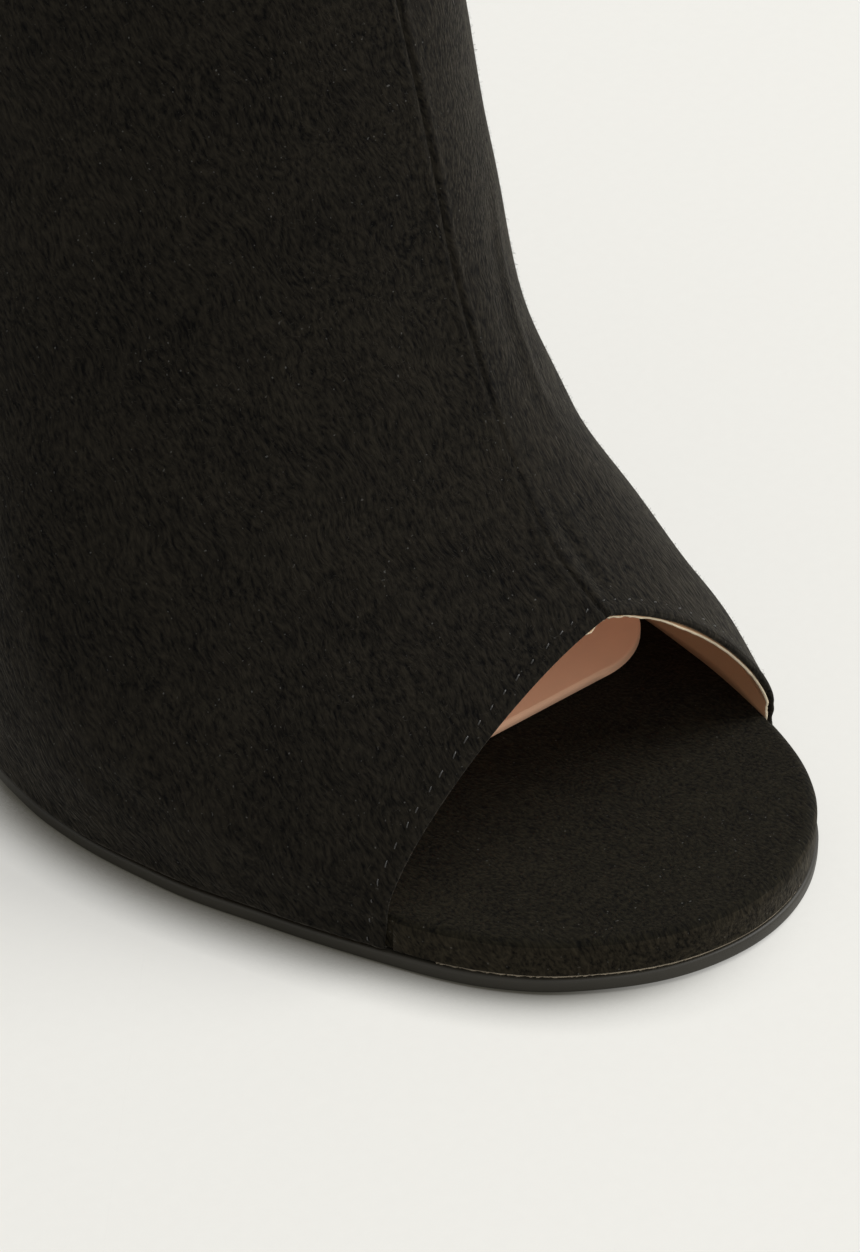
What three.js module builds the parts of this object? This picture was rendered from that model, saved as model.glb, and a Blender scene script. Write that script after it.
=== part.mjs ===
// Peep-toe ankle boot on a stiletto heel, for the right foot, standing empty on the floor.
// Millimetres. X points to the foot's inner side, Y from the toe to the heel, Z up.
// The origin is at the bottom centre of the boot's box.
import * as THREE from 'three';

// Driving sizes
const LENGTH = 207; // toe tip to the back of the heel seat, along the floor
const BALL_WIDTH = 84; // across the outsole at the ball of the foot
const HEEL_HEIGHT = 104; // floor to the upper's edge at the back of the heel seat
const COLLAR_FRONT = 184; // floor to the collar at the front
const COLLAR_BACK = 179; // floor to the collar at the back
const TOE_SPRING = 0.4; // lift of the toe tip off the floor
const SPRING_LENGTH = 34; // the stretch of toe that lifts
const PEEP_BACK = 29; // toe tip to the outer end of the peep opening
const PEEP_SKEW = 1.5; // how far its inner end lies in front of the outer one

// Walls and thicknesses
const UPPER_WALL = 1.5;
const OUTSOLE = 2;
const INSOLE = 4.8;
const SOCK = 1.2;
const TIP_HEIGHT = 7;

// Fits
const CLEARANCE = 0.3; // between pieces that touch
const UPPER_PROUD = 0.4; // the upper's outer face beyond the outsole's edge
const FOOTBED_INSET = 0.3; // the outsole's edge beyond the wrapped insole in the opening
const BREAST_BACK = 157; // toe tip to the end of the outsole and the heel's breast
const SOCK_FRONT_BACK = 48.6; // toe tip to the sock's front edge
const SOCK_CORNER = 13; // rounding of the sock's front corners

// Soft edges
const OUTSOLE_EDGE = 0.5;
const INSOLE_EDGE = 1.7;
const SOCK_EDGE = 0.3;
const TIP_EDGE = 0.4;
const EDGE_BEND = 0.3; // where the middle ring of a soft edge stands, share of the edge

// Height of the sole's top above its flat forepart.
// back: share of LENGTH, rise: share of the way to HEEL_HEIGHT.
const ARCH = [
  { back: 0, rise: 0 },
  { back: 0.386, rise: 0 },
  { back: 0.435, rise: 0.016 },
  { back: 0.483, rise: 0.061 },
  { back: 0.541, rise: 0.158 },
  { back: 0.604, rise: 0.306 },
  { back: 0.667, rise: 0.473 },
  { back: 0.729, rise: 0.641 },
  { back: 0.792, rise: 0.789 },
  { back: 0.855, rise: 0.897 },
  { back: 0.918, rise: 0.962 },
  { back: 1, rise: 1 },
];

// The outsole's outline. back: share of LENGTH; outer and inner: the two edges,
// as shares of BALL_WIDTH to the inner side of the toe's axis.
const PLAN = [
  { back: 0, outer: 0.024, inner: 0.024 },
  { back: 0.0097, outer: -0.11, inner: 0.15 },
  { back: 0.029, outer: -0.199, inner: 0.238 },
  { back: 0.058, outer: -0.285, inner: 0.317 },
  { back: 0.0966, outer: -0.351, inner: 0.376 },
  { back: 0.1449, outer: -0.402, inner: 0.418 },
  { back: 0.2174, outer: -0.464, inner: 0.457 },
  { back: 0.2899, outer: -0.514, inner: 0.476 },
  { back: 0.3671, outer: -0.535, inner: 0.471 },
  { back: 0.4348, outer: -0.531, inner: 0.443 },
  { back: 0.4831, outer: -0.494, inner: 0.41 },
  { back: 0.5556, outer: -0.398, inner: 0.367 },
  { back: 0.6522, outer: -0.271, inner: 0.371 },
  { back: 0.7488, outer: -0.208, inner: 0.424 },
  { back: 0.8454, outer: -0.193, inner: 0.476 },
  { back: 0.9179, outer: -0.139, inner: 0.439 },
  { back: 0.9662, outer: -0.043, inner: 0.343 },
  { back: 0.9903, outer: 0.043, inner: 0.257 },
  { back: 1, outer: 0.149, inner: 0.149 },
];

// The upper's sections, each from the ridge over the foot down to the sole or the back seam.
// foot: where it meets the sole, share of LENGTH; climb: share of the back seam's height above
// the heel seat; tuck: how far the back seam stands in front of the heel, share of LENGTH.
// crest, top, lean: the ridge's place, shares of LENGTH, COLLAR_FRONT and BALL_WIDTH.
// outer, inner: the widest points, shares of BALL_WIDTH; hip: how far down the section they
// lie; outerFull, innerFull, tail: roundness over the ridge to each side and down to the foot,
// where 2 is an ellipse.
const SECTIONS = [
  {
    foot: PEEP_BACK / LENGTH, climb: 0, tuck: 0,
    crest: PEEP_BACK / LENGTH, top: 0.19, lean: 0.063,
    outer: -0.392, inner: 0.415, hip: 0.8, outerFull: 1.42, innerFull: 1.3, tail: 2,
  },
  {
    foot: 0.217, climb: 0, tuck: 0,
    crest: 0.181, top: 0.221, lean: 0.054,
    outer: -0.467, inner: 0.474, hip: 0.78, outerFull: 1.45, innerFull: 1.43, tail: 2,
  },
  {
    foot: 0.3, climb: 0, tuck: 0,
    crest: 0.222, top: 0.266, lean: 0.067,
    outer: -0.521, inner: 0.486, hip: 0.74, outerFull: 1.45, innerFull: 1.43, tail: 2,
  },
  {
    foot: 0.386, climb: 0, tuck: 0,
    crest: 0.256, top: 0.326, lean: 0.076,
    outer: -0.551, inner: 0.486, hip: 0.7, outerFull: 1.48, innerFull: 1.36, tail: 2,
  },
  {
    foot: 0.473, climb: 0, tuck: 0,
    crest: 0.285, top: 0.391, lean: 0.086,
    outer: -0.536, inner: 0.463, hip: 0.64, outerFull: 1.5, innerFull: 1.4, tail: 2.1,
  },
  {
    foot: 0.57, climb: 0, tuck: 0,
    crest: 0.314, top: 0.473, lean: 0.099,
    outer: -0.458, inner: 0.467, hip: 0.59, outerFull: 1.55, innerFull: 1.54, tail: 2.25,
  },
  {
    foot: 0.676, climb: 0, tuck: 0,
    crest: 0.344, top: 0.554, lean: 0.113,
    outer: -0.375, inner: 0.488, hip: 0.55, outerFull: 1.6, innerFull: 1.7, tail: 2.5,
  },
  {
    foot: 0.783, climb: 0, tuck: 0,
    crest: 0.373, top: 0.636, lean: 0.126,
    outer: -0.313, inner: 0.513, hip: 0.53, outerFull: 1.7, innerFull: 1.78, tail: 2.75,
  },
  {
    foot: 0.894, climb: 0, tuck: 0,
    crest: 0.398, top: 0.709, lean: 0.138,
    outer: -0.274, inner: 0.519, hip: 0.52, outerFull: 1.8, innerFull: 1.82, tail: 3.1,
  },
  {
    foot: 0.966, climb: 0, tuck: 0,
    crest: 0.412, top: 0.754, lean: 0.144,
    outer: -0.26, inner: 0.517, hip: 0.525, outerFull: 1.85, innerFull: 1.8, tail: 3.05,
  },
  {
    foot: 1, climb: 0, tuck: 0,
    crest: 0.42, top: 0.788, lean: 0.148,
    outer: -0.252, inner: 0.515, hip: 0.53, outerFull: 1.88, innerFull: 1.85, tail: 2.9,
  },
  {
    foot: 1, climb: 0.2, tuck: -0.004,
    crest: 0.429, top: 0.829, lean: 0.151,
    outer: -0.245, inner: 0.512, hip: 0.525, outerFull: 1.92, innerFull: 1.9, tail: 2.7,
  },
  {
    foot: 1, climb: 0.45, tuck: 0.011,
    crest: 0.438, top: 0.878, lean: 0.155,
    outer: -0.242, inner: 0.51, hip: 0.515, outerFull: 1.96, innerFull: 1.95, tail: 2.5,
  },
  {
    foot: 1, climb: 0.72, tuck: 0.037,
    crest: 0.446, top: 0.935, lean: 0.16,
    outer: -0.249, inner: 0.517, hip: 0.505, outerFull: 2, innerFull: 2, tail: 2.35,
  },
  {
    foot: 1, climb: 1, tuck: 0.049,
    crest: 0.451, top: 1, lean: 0.163,
    outer: -0.262, inner: 0.53, hip: 0.5, outerFull: 2, innerFull: 2, tail: 2.2,
  },
];

// The heel from seat to tip. down: share of its height; rear: its back line, share of LENGTH;
// depth and width: shares of the seat's own depth and width.
const HEEL_STEM = [
  { down: 0, rear: 1, depth: 1, width: 1 },
  { down: 0.05, rear: 0.999, depth: 0.87, width: 0.93 },
  { down: 0.11, rear: 0.994, depth: 0.75, width: 0.81 },
  { down: 0.2, rear: 0.981, depth: 0.585, width: 0.62 },
  { down: 0.32, rear: 0.96, depth: 0.435, width: 0.43 },
  { down: 0.5, rear: 0.935, depth: 0.325, width: 0.3 },
  { down: 0.75, rear: 0.914, depth: 0.24, width: 0.215 },
  { down: 1, rear: 0.905, depth: 0.205, width: 0.185 },
];

// Mesh steps
const ROWS_PER_SECTION = 3;
const EASING_PASSES = 10; // rounds that ease the sections into each other at the heel
const EASING_SECTIONS = 3; // how far from the heel's corner they reach
const EASING_COLUMNS = 7; // columns over which they fade out towards the sole
const ARC_STEPS = 11; // from the ridge to the widest point, and again down to the foot
const OUTLINE_SAMPLES = 120;
const TURN_STEP = 0.004; // for the outline's direction
const MERGE = 0.002; // points nearer than this are one
const NEARLY_UPRIGHT = 0.9999; // most of a section's width that its foot can have before it flares
const HEEL_LEVELS = 22;
const HEEL_CROWDING = 0.6; // how far the heel's levels gather under the seat
const SEAT_STEPS = 12;

// A smooth curve through one column of a table, flat where the column is flat.
function through(table, key, column) {
  const xs = table.map((row) => row[key]);
  const ys = table.map((row) => row[column]);
  const chords = xs.slice(1).map((x, i) => (ys[i + 1] - ys[i]) / (x - xs[i]));
  const slopes = xs.map((_, i) => {
    if (i === 0) return chords[0];
    if (i === xs.length - 1) return chords[i - 1];
    const before = chords[i - 1];
    const after = chords[i];
    return before * after <= 0 ? 0 : (2 * before * after) / (before + after);
  });
  return (x) => {
    if (x <= xs[0]) return ys[0] + slopes[0] * (x - xs[0]);
    const last = xs.length - 1;
    if (x >= xs[last]) return ys[last] + slopes[last] * (x - xs[last]);
    const i = xs.findIndex((value) => value > x) - 1;
    const span = xs[i + 1] - xs[i];
    const t = (x - xs[i]) / span;
    const t2 = t * t;
    const t3 = t2 * t;
    return ys[i] * (2 * t3 - 3 * t2 + 1) + ys[i + 1] * (3 * t2 - 2 * t3)
      + span * (slopes[i] * (t3 - 2 * t2 + t) + slopes[i + 1] * (t3 - t2));
  };
}

const lerp = (a, b, t) => a + (b - a) * t;
const roundStart = (t) => 1 - Math.cos((t * Math.PI) / 2);
const roundEnd = (t) => Math.sin((t * Math.PI) / 2);

// The bed: the top of the outsole and of the heel seat, the same all the way across.
const archRise = through(ARCH, 'back', 'rise');

function bedHeight(back) {
  const spring = back < SPRING_LENGTH ? TOE_SPRING * (1 - back / SPRING_LENGTH) ** 2 : 0;
  return OUTSOLE + spring + (HEEL_HEIGHT - OUTSOLE) * archRise(back / LENGTH);
}

// Height of a layer that lies the given thickness above the bed.
function layer(back, thickness) {
  const slope = bedHeight(back + 0.5) - bedHeight(back - 0.5);
  return bedHeight(back) + thickness * Math.hypot(1, slope);
}

// The outsole's outline, followed by its turn from 0 at the toe to pi at the heel.
const turnOf = (share) => Math.acos(1 - 2 * share);
const PLAN_TURNS = PLAN.map((row) => ({ ...row, turn: turnOf(row.back) }));
const planEdge = {
  outer: through(PLAN_TURNS, 'turn', 'outer'),
  inner: through(PLAN_TURNS, 'turn', 'inner'),
};

function outlinePoint(side, turn, inset) {
  const at = (t) => new THREE.Vector2(
    BALL_WIDTH * planEdge[side](t),
    (LENGTH * (1 - Math.cos(t))) / 2,
  );
  const ahead = at(Math.min(turn + TURN_STEP, Math.PI));
  const tangent = ahead.sub(at(Math.max(turn - TURN_STEP, 0))).normalize();
  const hand = side === 'outer' ? 1 : -1;
  if (turn < TURN_STEP) tangent.set(-hand, 0);
  if (turn > Math.PI - TURN_STEP) tangent.set(hand, 0);
  const inwards = new THREE.Vector2(tangent.y, -tangent.x);
  return at(turn).addScaledVector(inwards, hand * inset);
}

// The outline moved inwards, as a function of the distance from the toe tip.
function insetOutline(inset) {
  const trace = (side) => {
    const points = [];
    for (let i = 0; i <= OUTLINE_SAMPLES; i += 1) {
      points.push(outlinePoint(side, (Math.PI * i) / OUTLINE_SAMPLES, inset));
    }
    return points;
  };
  const traces = { outer: trace('outer'), inner: trace('inner') };
  const start = traces.outer[0].y;
  const end = traces.outer[OUTLINE_SAMPLES].y;
  const crossing = (points, back) => {
    const i = Math.max(1, points.findIndex((point) => point.y >= back));
    const a = points[i - 1];
    const b = points[i];
    return lerp(a.x, b.x, THREE.MathUtils.clamp((back - a.y) / (b.y - a.y), 0, 1));
  };
  const edges = (back) => {
    const y = THREE.MathUtils.clamp(back, start, end);
    return { outer: crossing(traces.outer, y), inner: crossing(traces.inner, y) };
  };
  return { start, end, edges };
}

const outlineCache = new Map();

function outline(inset) {
  if (!outlineCache.has(inset)) outlineCache.set(inset, insetOutline(inset));
  return outlineCache.get(inset);
}

// Collects triangles over shared points and closes them into one solid.
class Skin {
  constructor() {
    this.points = [];
    this.lookup = new Map();
    this.triangles = [];
  }

  point(p) {
    const key = [p.x, p.y, p.z].map((value) => Math.round(value / MERGE)).join(' ');
    if (!this.lookup.has(key)) {
      this.lookup.set(key, this.points.length);
      this.points.push(p.clone());
    }
    return this.lookup.get(key);
  }

  triangle(a, b, c) {
    const corners = [this.point(a), this.point(b), this.point(c)];
    if (new Set(corners).size === 3) this.triangles.push(corners);
  }

  quad(a, b, c, d) {
    if (a.distanceTo(c) <= b.distanceTo(d)) {
      this.triangle(a, b, c);
      this.triangle(a, c, d);
    } else {
      this.triangle(a, b, d);
      this.triangle(b, c, d);
    }
  }

  geometry() {
    let volume = 0;
    const cross = new THREE.Vector3();
    this.triangles.forEach(([a, b, c]) => {
      cross.crossVectors(this.points[b], this.points[c]);
      volume += this.points[a].dot(cross);
    });
    const faces = volume < 0 ? this.triangles.map(([a, b, c]) => [a, c, b]) : this.triangles;
    const geometry = new THREE.BufferGeometry();
    const places = this.points.flatMap((p) => [p.x, p.y, p.z]);
    geometry.setAttribute('position', new THREE.Float32BufferAttribute(places, 3));
    geometry.setIndex(faces.flat());
    geometry.computeVertexNormals();
    return geometry;
  }
}

// A sheet that follows the bed. spans: stretches along the boot, each with its steps and its
// spread of them; edges(back, inset): the two sides; rings: the rim from bottom to top, each
// with its inset and its height above the bed.
function bedSheet({ spans, edges, rings, columns }) {
  const loops = [];
  spans.forEach((span, index) => {
    for (let i = index === 0 ? 0 : 1; i <= span.steps; i += 1) {
      const t = (span.spread ?? ((value) => value))(i / span.steps);
      const rim = rings.map((ring) => {
        const back = lerp(span.from(ring.inset), span.to(ring.inset), t);
        const side = edges(back, ring.inset);
        return { back, lift: ring.lift, ...side };
      });
      const across = (ring, share) => new THREE.Vector3(
        lerp(ring.outer, ring.inner, share),
        ring.back,
        layer(ring.back, ring.lift),
      );
      const bottom = rim[0];
      const top = rim[rim.length - 1];
      const loop = [];
      for (let c = 0; c <= columns; c += 1) loop.push(across(bottom, c / columns));
      rim.slice(1, -1).forEach((ring) => loop.push(across(ring, 1)));
      for (let c = columns; c >= 0; c -= 1) loop.push(across(top, c / columns));
      rim.slice(1, -1).reverse().forEach((ring) => loop.push(across(ring, 0)));
      loops.push(loop);
    }
  });
  const skin = new Skin();
  for (let i = 1; i < loops.length; i += 1) {
    const a = loops[i - 1];
    const b = loops[i];
    a.forEach((_, k) => {
      const next = (k + 1) % a.length;
      skin.quad(a[k], b[k], b[next], a[next]);
    });
  }
  const width = (loop) => loop[0].distanceTo(loop[columns]);
  const cap = (loop, reversed) => {
    const flat = loop.map((p) => new THREE.Vector2(p.x, p.z));
    THREE.ShapeUtils.triangulateShape(flat, []).forEach(([p, q, r]) => {
      if (reversed) skin.triangle(loop[p], loop[r], loop[q]);
      else skin.triangle(loop[p], loop[q], loop[r]);
    });
  };
  if (width(loops[0]) > MERGE) cap(loops[0], false);
  if (width(loops[loops.length - 1]) > MERGE) cap(loops[loops.length - 1], true);
  return skin.geometry();
}

// The upper's sections, one value per row of the mesh. The first foot stands at the opening's ends.
const SECTION_ROWS = SECTIONS.map((row, index) => ({ ...row, index, turn: turnOf(row.foot) }));
const SECTION_NAMES = Object.keys(SECTION_ROWS[0]).filter((name) => name !== 'index');
const sectionColumn = Object.fromEntries(
  SECTION_NAMES.map((name) => [name, through(SECTION_ROWS, 'index', name)]),
);
const SEAM_SECTION = SECTIONS.findIndex((row) => row.foot === 1);
const SKEW_SECTIONS = 2.5; // the sections over which the inner end's lead fades out

// Where a section's foot stands on each side: its turn along the outline.
function footTurn(side, index) {
  const turn = sectionColumn.turn(index);
  if (side === 'outer') return turn;
  const fade = Math.max(0, 1 - index / SKEW_SECTIONS) ** 2;
  const back = (LENGTH * (1 - Math.cos(turn))) / 2 - PEEP_SKEW * fade;
  return turnOf(back / LENGTH);
}

// Half of a section: along is the share of the way from ridge to foot, out is half its width.
// Where the foot stands further out than the widest point, the lower part flares out to it.
function halfSection(share, widest, atFoot, hip, full, tail) {
  if (share <= 0.5) {
    const angle = share * Math.PI;
    return {
      along: hip * (1 - Math.cos(angle) ** (2 / full)),
      out: widest * Math.sin(angle) ** (2 / full),
    };
  }
  const down = (share - 0.5) * 2;
  const close = Math.acos(THREE.MathUtils.clamp(atFoot / widest, 0, NEARLY_UPRIGHT) ** (tail / 2));
  const angle = close * down;
  const flare = Math.max(0, atFoot - widest * NEARLY_UPRIGHT) * down ** 2;
  return {
    along: hip + (1 - hip) * (Math.sin(angle) / Math.sin(close)) ** (2 / tail),
    out: widest * Math.cos(angle) ** (2 / tail) + flare,
  };
}

// The ridge point, the feet and the shape values of the section at an index.
function sectionAt(index) {
  const at = Object.fromEntries(SECTION_NAMES.map((name) => [name, sectionColumn[name](index)]));
  const crest = new THREE.Vector3(BALL_WIDTH * at.lean, LENGTH * at.crest, COLLAR_FRONT * at.top);
  const onSeam = index >= SEAM_SECTION;
  const foot = {};
  ['outer', 'inner'].forEach((side) => {
    const p = outlinePoint(side, onSeam ? Math.PI : footTurn(side, index), -UPPER_PROUD);
    foot[side] = new THREE.Vector3(p.x, p.y, layer(p.y, CLEARANCE));
    if (onSeam) {
      foot[side].y -= LENGTH * at.tuck;
      foot[side].z = lerp(foot[side].z, COLLAR_BACK, at.climb);
    }
  });
  return { at, crest, foot };
}

// A point on the upper's outside: share runs from the ridge to the foot on one side.
function upperPoint(index, side, share) {
  const { at, crest, foot } = sectionAt(index);
  const middle = (foot.outer.x + foot.inner.x) / 2;
  const hipX = lerp(crest.x, middle, at.hip);
  const atFoot = Math.abs(foot[side].x - middle);
  const widest = Math.abs(BALL_WIDTH * at[side] - hipX);
  const { along, out } = halfSection(share, widest, atFoot, at.hip, at[`${side}Full`], at.tail);
  return new THREE.Vector3(
    lerp(crest.x, middle, along) + (side === 'outer' ? -out : out),
    lerp(crest.y, foot[side].y, along),
    lerp(crest.z, foot[side].z, along),
  );
}

function upperRow(index) {
  const row = [];
  const steps = 2 * ARC_STEPS;
  for (let i = steps; i > 0; i -= 1) row.push(upperPoint(index, 'outer', i / steps));
  for (let i = 0; i <= steps; i += 1) row.push(upperPoint(index, 'inner', i / steps));
  return row;
}

// Eases the rows into each other round the corner where sole, heel and back seam meet.
function easeRows(rows, seamRow) {
  const lastColumn = rows[0].length - 1;
  let eased = rows;
  for (let pass = 0; pass < EASING_PASSES; pass += 1) {
    const before = eased;
    eased = before.map((row, j) => row.map((p, i) => {
      if (j === 0 || j === before.length - 1) return p;
      const reach = Math.abs(j - seamRow) / (EASING_SECTIONS * ROWS_PER_SECTION);
      const fromFoot = Math.min(i, lastColumn - i) / EASING_COLUMNS;
      const near = Math.max(0, 1 - reach ** 2);
      const free = j > seamRow ? 1 : THREE.MathUtils.smoothstep(fromFoot, 0, 1);
      const mean = before[j - 1][i].clone().add(before[j + 1][i]).multiplyScalar(0.5);
      return p.clone().lerp(mean, 0.5 * near * free);
    }));
  }
  return eased;
}

function upperGeometry() {
  const lastRow = (SECTIONS.length - 1) * ROWS_PER_SECTION;
  const seamRow = SEAM_SECTION * ROWS_PER_SECTION;
  const plainRows = [];
  for (let j = 0; j <= lastRow; j += 1) plainRows.push(upperRow(j / ROWS_PER_SECTION));
  const outside = easeRows(plainRows, seamRow);
  const lastColumn = outside[0].length - 1;
  const inside = outside.map((row, j) => row.map((p, i) => {
    const closed = j >= seamRow;
    const left = closed && i === 0 ? row[lastColumn - 1] : row[Math.max(i - 1, 0)];
    const right = closed && i === lastColumn ? row[1] : row[Math.min(i + 1, lastColumn)];
    const along = right.clone().sub(left);
    const back = outside[Math.min(j + 1, lastRow)][i].clone().sub(outside[Math.max(j - 1, 0)][i]);
    const inwards = new THREE.Vector3().crossVectors(back, along).normalize();
    if (j === 0) inwards.setY(0).normalize();
    if (j === lastRow) inwards.setZ(0).normalize();
    if (!closed && (i === 0 || i === lastColumn)) {
      const side = i === 0 ? 'outer' : 'inner';
      const at = outlinePoint(side, footTurn(side, j / ROWS_PER_SECTION), UPPER_WALL - UPPER_PROUD);
      return new THREE.Vector3(at.x, at.y, layer(at.y, CLEARANCE));
    }
    if (j === seamRow && (i === 0 || i === lastColumn)) {
      return new THREE.Vector3(p.x, p.y - UPPER_WALL, layer(p.y - UPPER_WALL, CLEARANCE));
    }
    return p.clone().addScaledVector(inwards, UPPER_WALL);
  }));
  const skin = new Skin();
  for (let j = 0; j < lastRow; j += 1) {
    for (let i = 0; i < lastColumn; i += 1) {
      skin.quad(outside[j][i], outside[j][i + 1], outside[j + 1][i + 1], outside[j + 1][i]);
      skin.quad(inside[j][i], inside[j + 1][i], inside[j + 1][i + 1], inside[j][i + 1]);
    }
  }
  for (let i = 0; i < lastColumn; i += 1) {
    skin.quad(outside[0][i], inside[0][i], inside[0][i + 1], outside[0][i + 1]);
    skin.quad(outside[lastRow][i], outside[lastRow][i + 1], inside[lastRow][i + 1], inside[lastRow][i]);
  }
  for (let j = 0; j < seamRow; j += 1) {
    skin.quad(outside[j][0], outside[j + 1][0], inside[j + 1][0], inside[j][0]);
    const rim = [outside[j], inside[j], inside[j + 1], outside[j + 1]].map((row) => row[lastColumn]);
    skin.quad(...rim);
  }
  return skin.geometry();
}

function outsoleGeometry() {
  return bedSheet({
    spans: [
      { from: (inset) => outline(inset).start, to: () => SPRING_LENGTH, steps: 14, spread: roundStart },
      { from: () => SPRING_LENGTH, to: () => BREAST_BACK, steps: 26 },
    ],
    edges: (back, inset) => outline(inset).edges(back),
    rings: [
      { inset: OUTSOLE_EDGE, lift: -OUTSOLE },
      { inset: 0, lift: OUTSOLE_EDGE - OUTSOLE },
      { inset: 0, lift: -OUTSOLE_EDGE },
      { inset: OUTSOLE_EDGE, lift: 0 },
    ],
    columns: 4,
  });
}

function insoleGeometry() {
  const front = FOOTBED_INSET;
  const behind = UPPER_WALL - UPPER_PROUD + CLEARANCE;
  const step = { outer: PEEP_BACK - 2 * CLEARANCE, inner: PEEP_BACK - PEEP_SKEW - 2 * CLEARANCE };
  return bedSheet({
    spans: [
      {
        from: (inset) => outline(front + inset).start,
        to: () => step.inner - CLEARANCE,
        steps: 12,
        spread: roundStart,
      },
      { from: () => step.inner - CLEARANCE, to: () => step.inner, steps: 1 },
      { from: () => step.inner, to: () => step.outer - CLEARANCE, steps: 1 },
      { from: () => step.outer - CLEARANCE, to: () => step.outer, steps: 1 },
      { from: () => step.outer, to: () => BREAST_BACK, steps: 22 },
      {
        from: () => BREAST_BACK,
        to: (inset) => outline(behind + inset).end,
        steps: 14,
        spread: roundEnd,
      },
    ],
    edges: (back, inset) => {
      const edge = (side) => {
        const ahead = back < step[side] - CLEARANCE / 2;
        return outline((ahead ? front : behind) + inset).edges(back)[side];
      };
      return { outer: edge('outer'), inner: edge('inner') };
    },
    rings: [
      { inset: 0, lift: CLEARANCE },
      { inset: 0, lift: CLEARANCE + INSOLE - INSOLE_EDGE },
      { inset: INSOLE_EDGE * EDGE_BEND, lift: CLEARANCE + INSOLE - INSOLE_EDGE * EDGE_BEND },
      { inset: INSOLE_EDGE, lift: CLEARANCE + INSOLE },
    ],
    columns: 4,
  });
}

function sockGeometry() {
  const inset = UPPER_WALL - UPPER_PROUD + 2 * CLEARANCE;
  const bottom = 2 * CLEARANCE + INSOLE;
  const cornerEnd = SOCK_FRONT_BACK + SOCK_CORNER;
  return bedSheet({
    spans: [
      { from: (edge) => SOCK_FRONT_BACK + edge, to: () => cornerEnd, steps: 6, spread: roundStart },
      { from: () => cornerEnd, to: () => BREAST_BACK, steps: 18 },
      {
        from: () => BREAST_BACK,
        to: (edge) => outline(inset + edge).end,
        steps: 14,
        spread: roundEnd,
      },
    ],
    edges: (back, edge) => {
      const sides = outline(inset + edge).edges(back);
      const left = THREE.MathUtils.clamp((cornerEnd - back) / (SOCK_CORNER - edge), 0, 1);
      const corner = SOCK_CORNER * (1 - Math.sqrt(1 - left * left));
      return { outer: sides.outer + corner, inner: sides.inner - corner };
    },
    rings: [
      { inset: 0, lift: bottom },
      { inset: 0, lift: bottom + SOCK - SOCK_EDGE },
      { inset: SOCK_EDGE, lift: bottom + SOCK },
    ],
    columns: 2,
  });
}

// The heel's section is the seat's own outline, drawn together towards the tip.
const stemColumn = {
  rear: through(HEEL_STEM, 'down', 'rear'),
  depth: through(HEEL_STEM, 'down', 'depth'),
  width: through(HEEL_STEM, 'down', 'width'),
};
const HEEL_FRONT = BREAST_BACK + CLEARANCE;
const SEAT = outline(0);
const SEAT_DEPTH = SEAT.end - HEEL_FRONT;
const SEAT_MIDDLE = SEAT.edges(SEAT.end).outer;

function heelRing(down, height, grow = 0) {
  const rear = SEAT.end - LENGTH * (1 - stemColumn.rear(down)) + grow;
  const depth = SEAT_DEPTH * stemColumn.depth(down) + 2 * grow;
  const width = stemColumn.width(down) + (2 * grow) / SEAT_DEPTH;
  const pairs = [];
  for (let i = 0; i <= SEAT_STEPS; i += 1) {
    const share = roundEnd(i / SEAT_STEPS);
    const seatBack = HEEL_FRONT + SEAT_DEPTH * share;
    const sides = SEAT.edges(seatBack);
    const y = rear - depth * (1 - share);
    const z = height(seatBack);
    pairs.push({
      outer: new THREE.Vector3(SEAT_MIDDLE + (sides.outer - SEAT_MIDDLE) * width, y, z),
      inner: new THREE.Vector3(SEAT_MIDDLE + (sides.inner - SEAT_MIDDLE) * width, y, z),
    });
  }
  return pairs;
}

function ringStack(rings) {
  const skin = new Skin();
  const loops = rings.map((pairs) => {
    const innerSide = pairs.slice(0, -1).reverse().map((p) => p.inner);
    return [...pairs.map((p) => p.outer), ...innerSide];
  });
  for (let j = 1; j < loops.length; j += 1) {
    loops[0].forEach((_, k) => {
      const next = (k + 1) % loops[0].length;
      skin.quad(loops[j - 1][k], loops[j - 1][next], loops[j][next], loops[j][k]);
    });
  }
  const cap = (pairs, reversed) => {
    for (let i = 1; i < pairs.length; i += 1) {
      const corners = [pairs[i - 1].outer, pairs[i - 1].inner, pairs[i].inner, pairs[i].outer];
      if (reversed) corners.reverse();
      skin.quad(...corners);
    }
  };
  cap(rings[0], false);
  cap(rings[rings.length - 1], true);
  return skin.geometry();
}

function heelGeometry() {
  const bottom = TIP_HEIGHT + CLEARANCE;
  const rings = [];
  for (let j = 0; j <= HEEL_LEVELS; j += 1) {
    const share = j / HEEL_LEVELS;
    const down = lerp(share, roundStart(share), HEEL_CROWDING);
    rings.push(heelRing(down, (seatBack) => lerp(bedHeight(seatBack), bottom, down)));
  }
  return ringStack(rings);
}

function heelTipGeometry() {
  return ringStack([
    heelRing(1, () => TIP_HEIGHT),
    heelRing(1, () => TIP_EDGE),
    heelRing(1, () => 0, -TIP_EDGE),
  ]);
}

// Materials
function material(name, color, roughness) {
  return new THREE.MeshStandardMaterial({ name, color, roughness, metalness: 0 });
}

const suede = material('black suede', 0x12110f, 0.95);
const sole = material('sole rubber', 0x24221f, 0.5);
const lining = material('pale lining', 0xc9a084, 0.6);
const topPiece = material('top piece', 0x0e0d0c, 0.4);

const pieces = {
  upper: [upperGeometry(), suede],
  outsole: [outsoleGeometry(), sole],
  insole: [insoleGeometry(), suede],
  sock_lining: [sockGeometry(), lining],
  heel: [heelGeometry(), suede],
  heel_tip: [heelTipGeometry(), topPiece],
};

const boot = new THREE.Group();
Object.entries(pieces).forEach(([name, [geometry, finish]]) => {
  const mesh = new THREE.Mesh(geometry, finish);
  mesh.name = name;
  boot.add(mesh);
});

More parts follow.
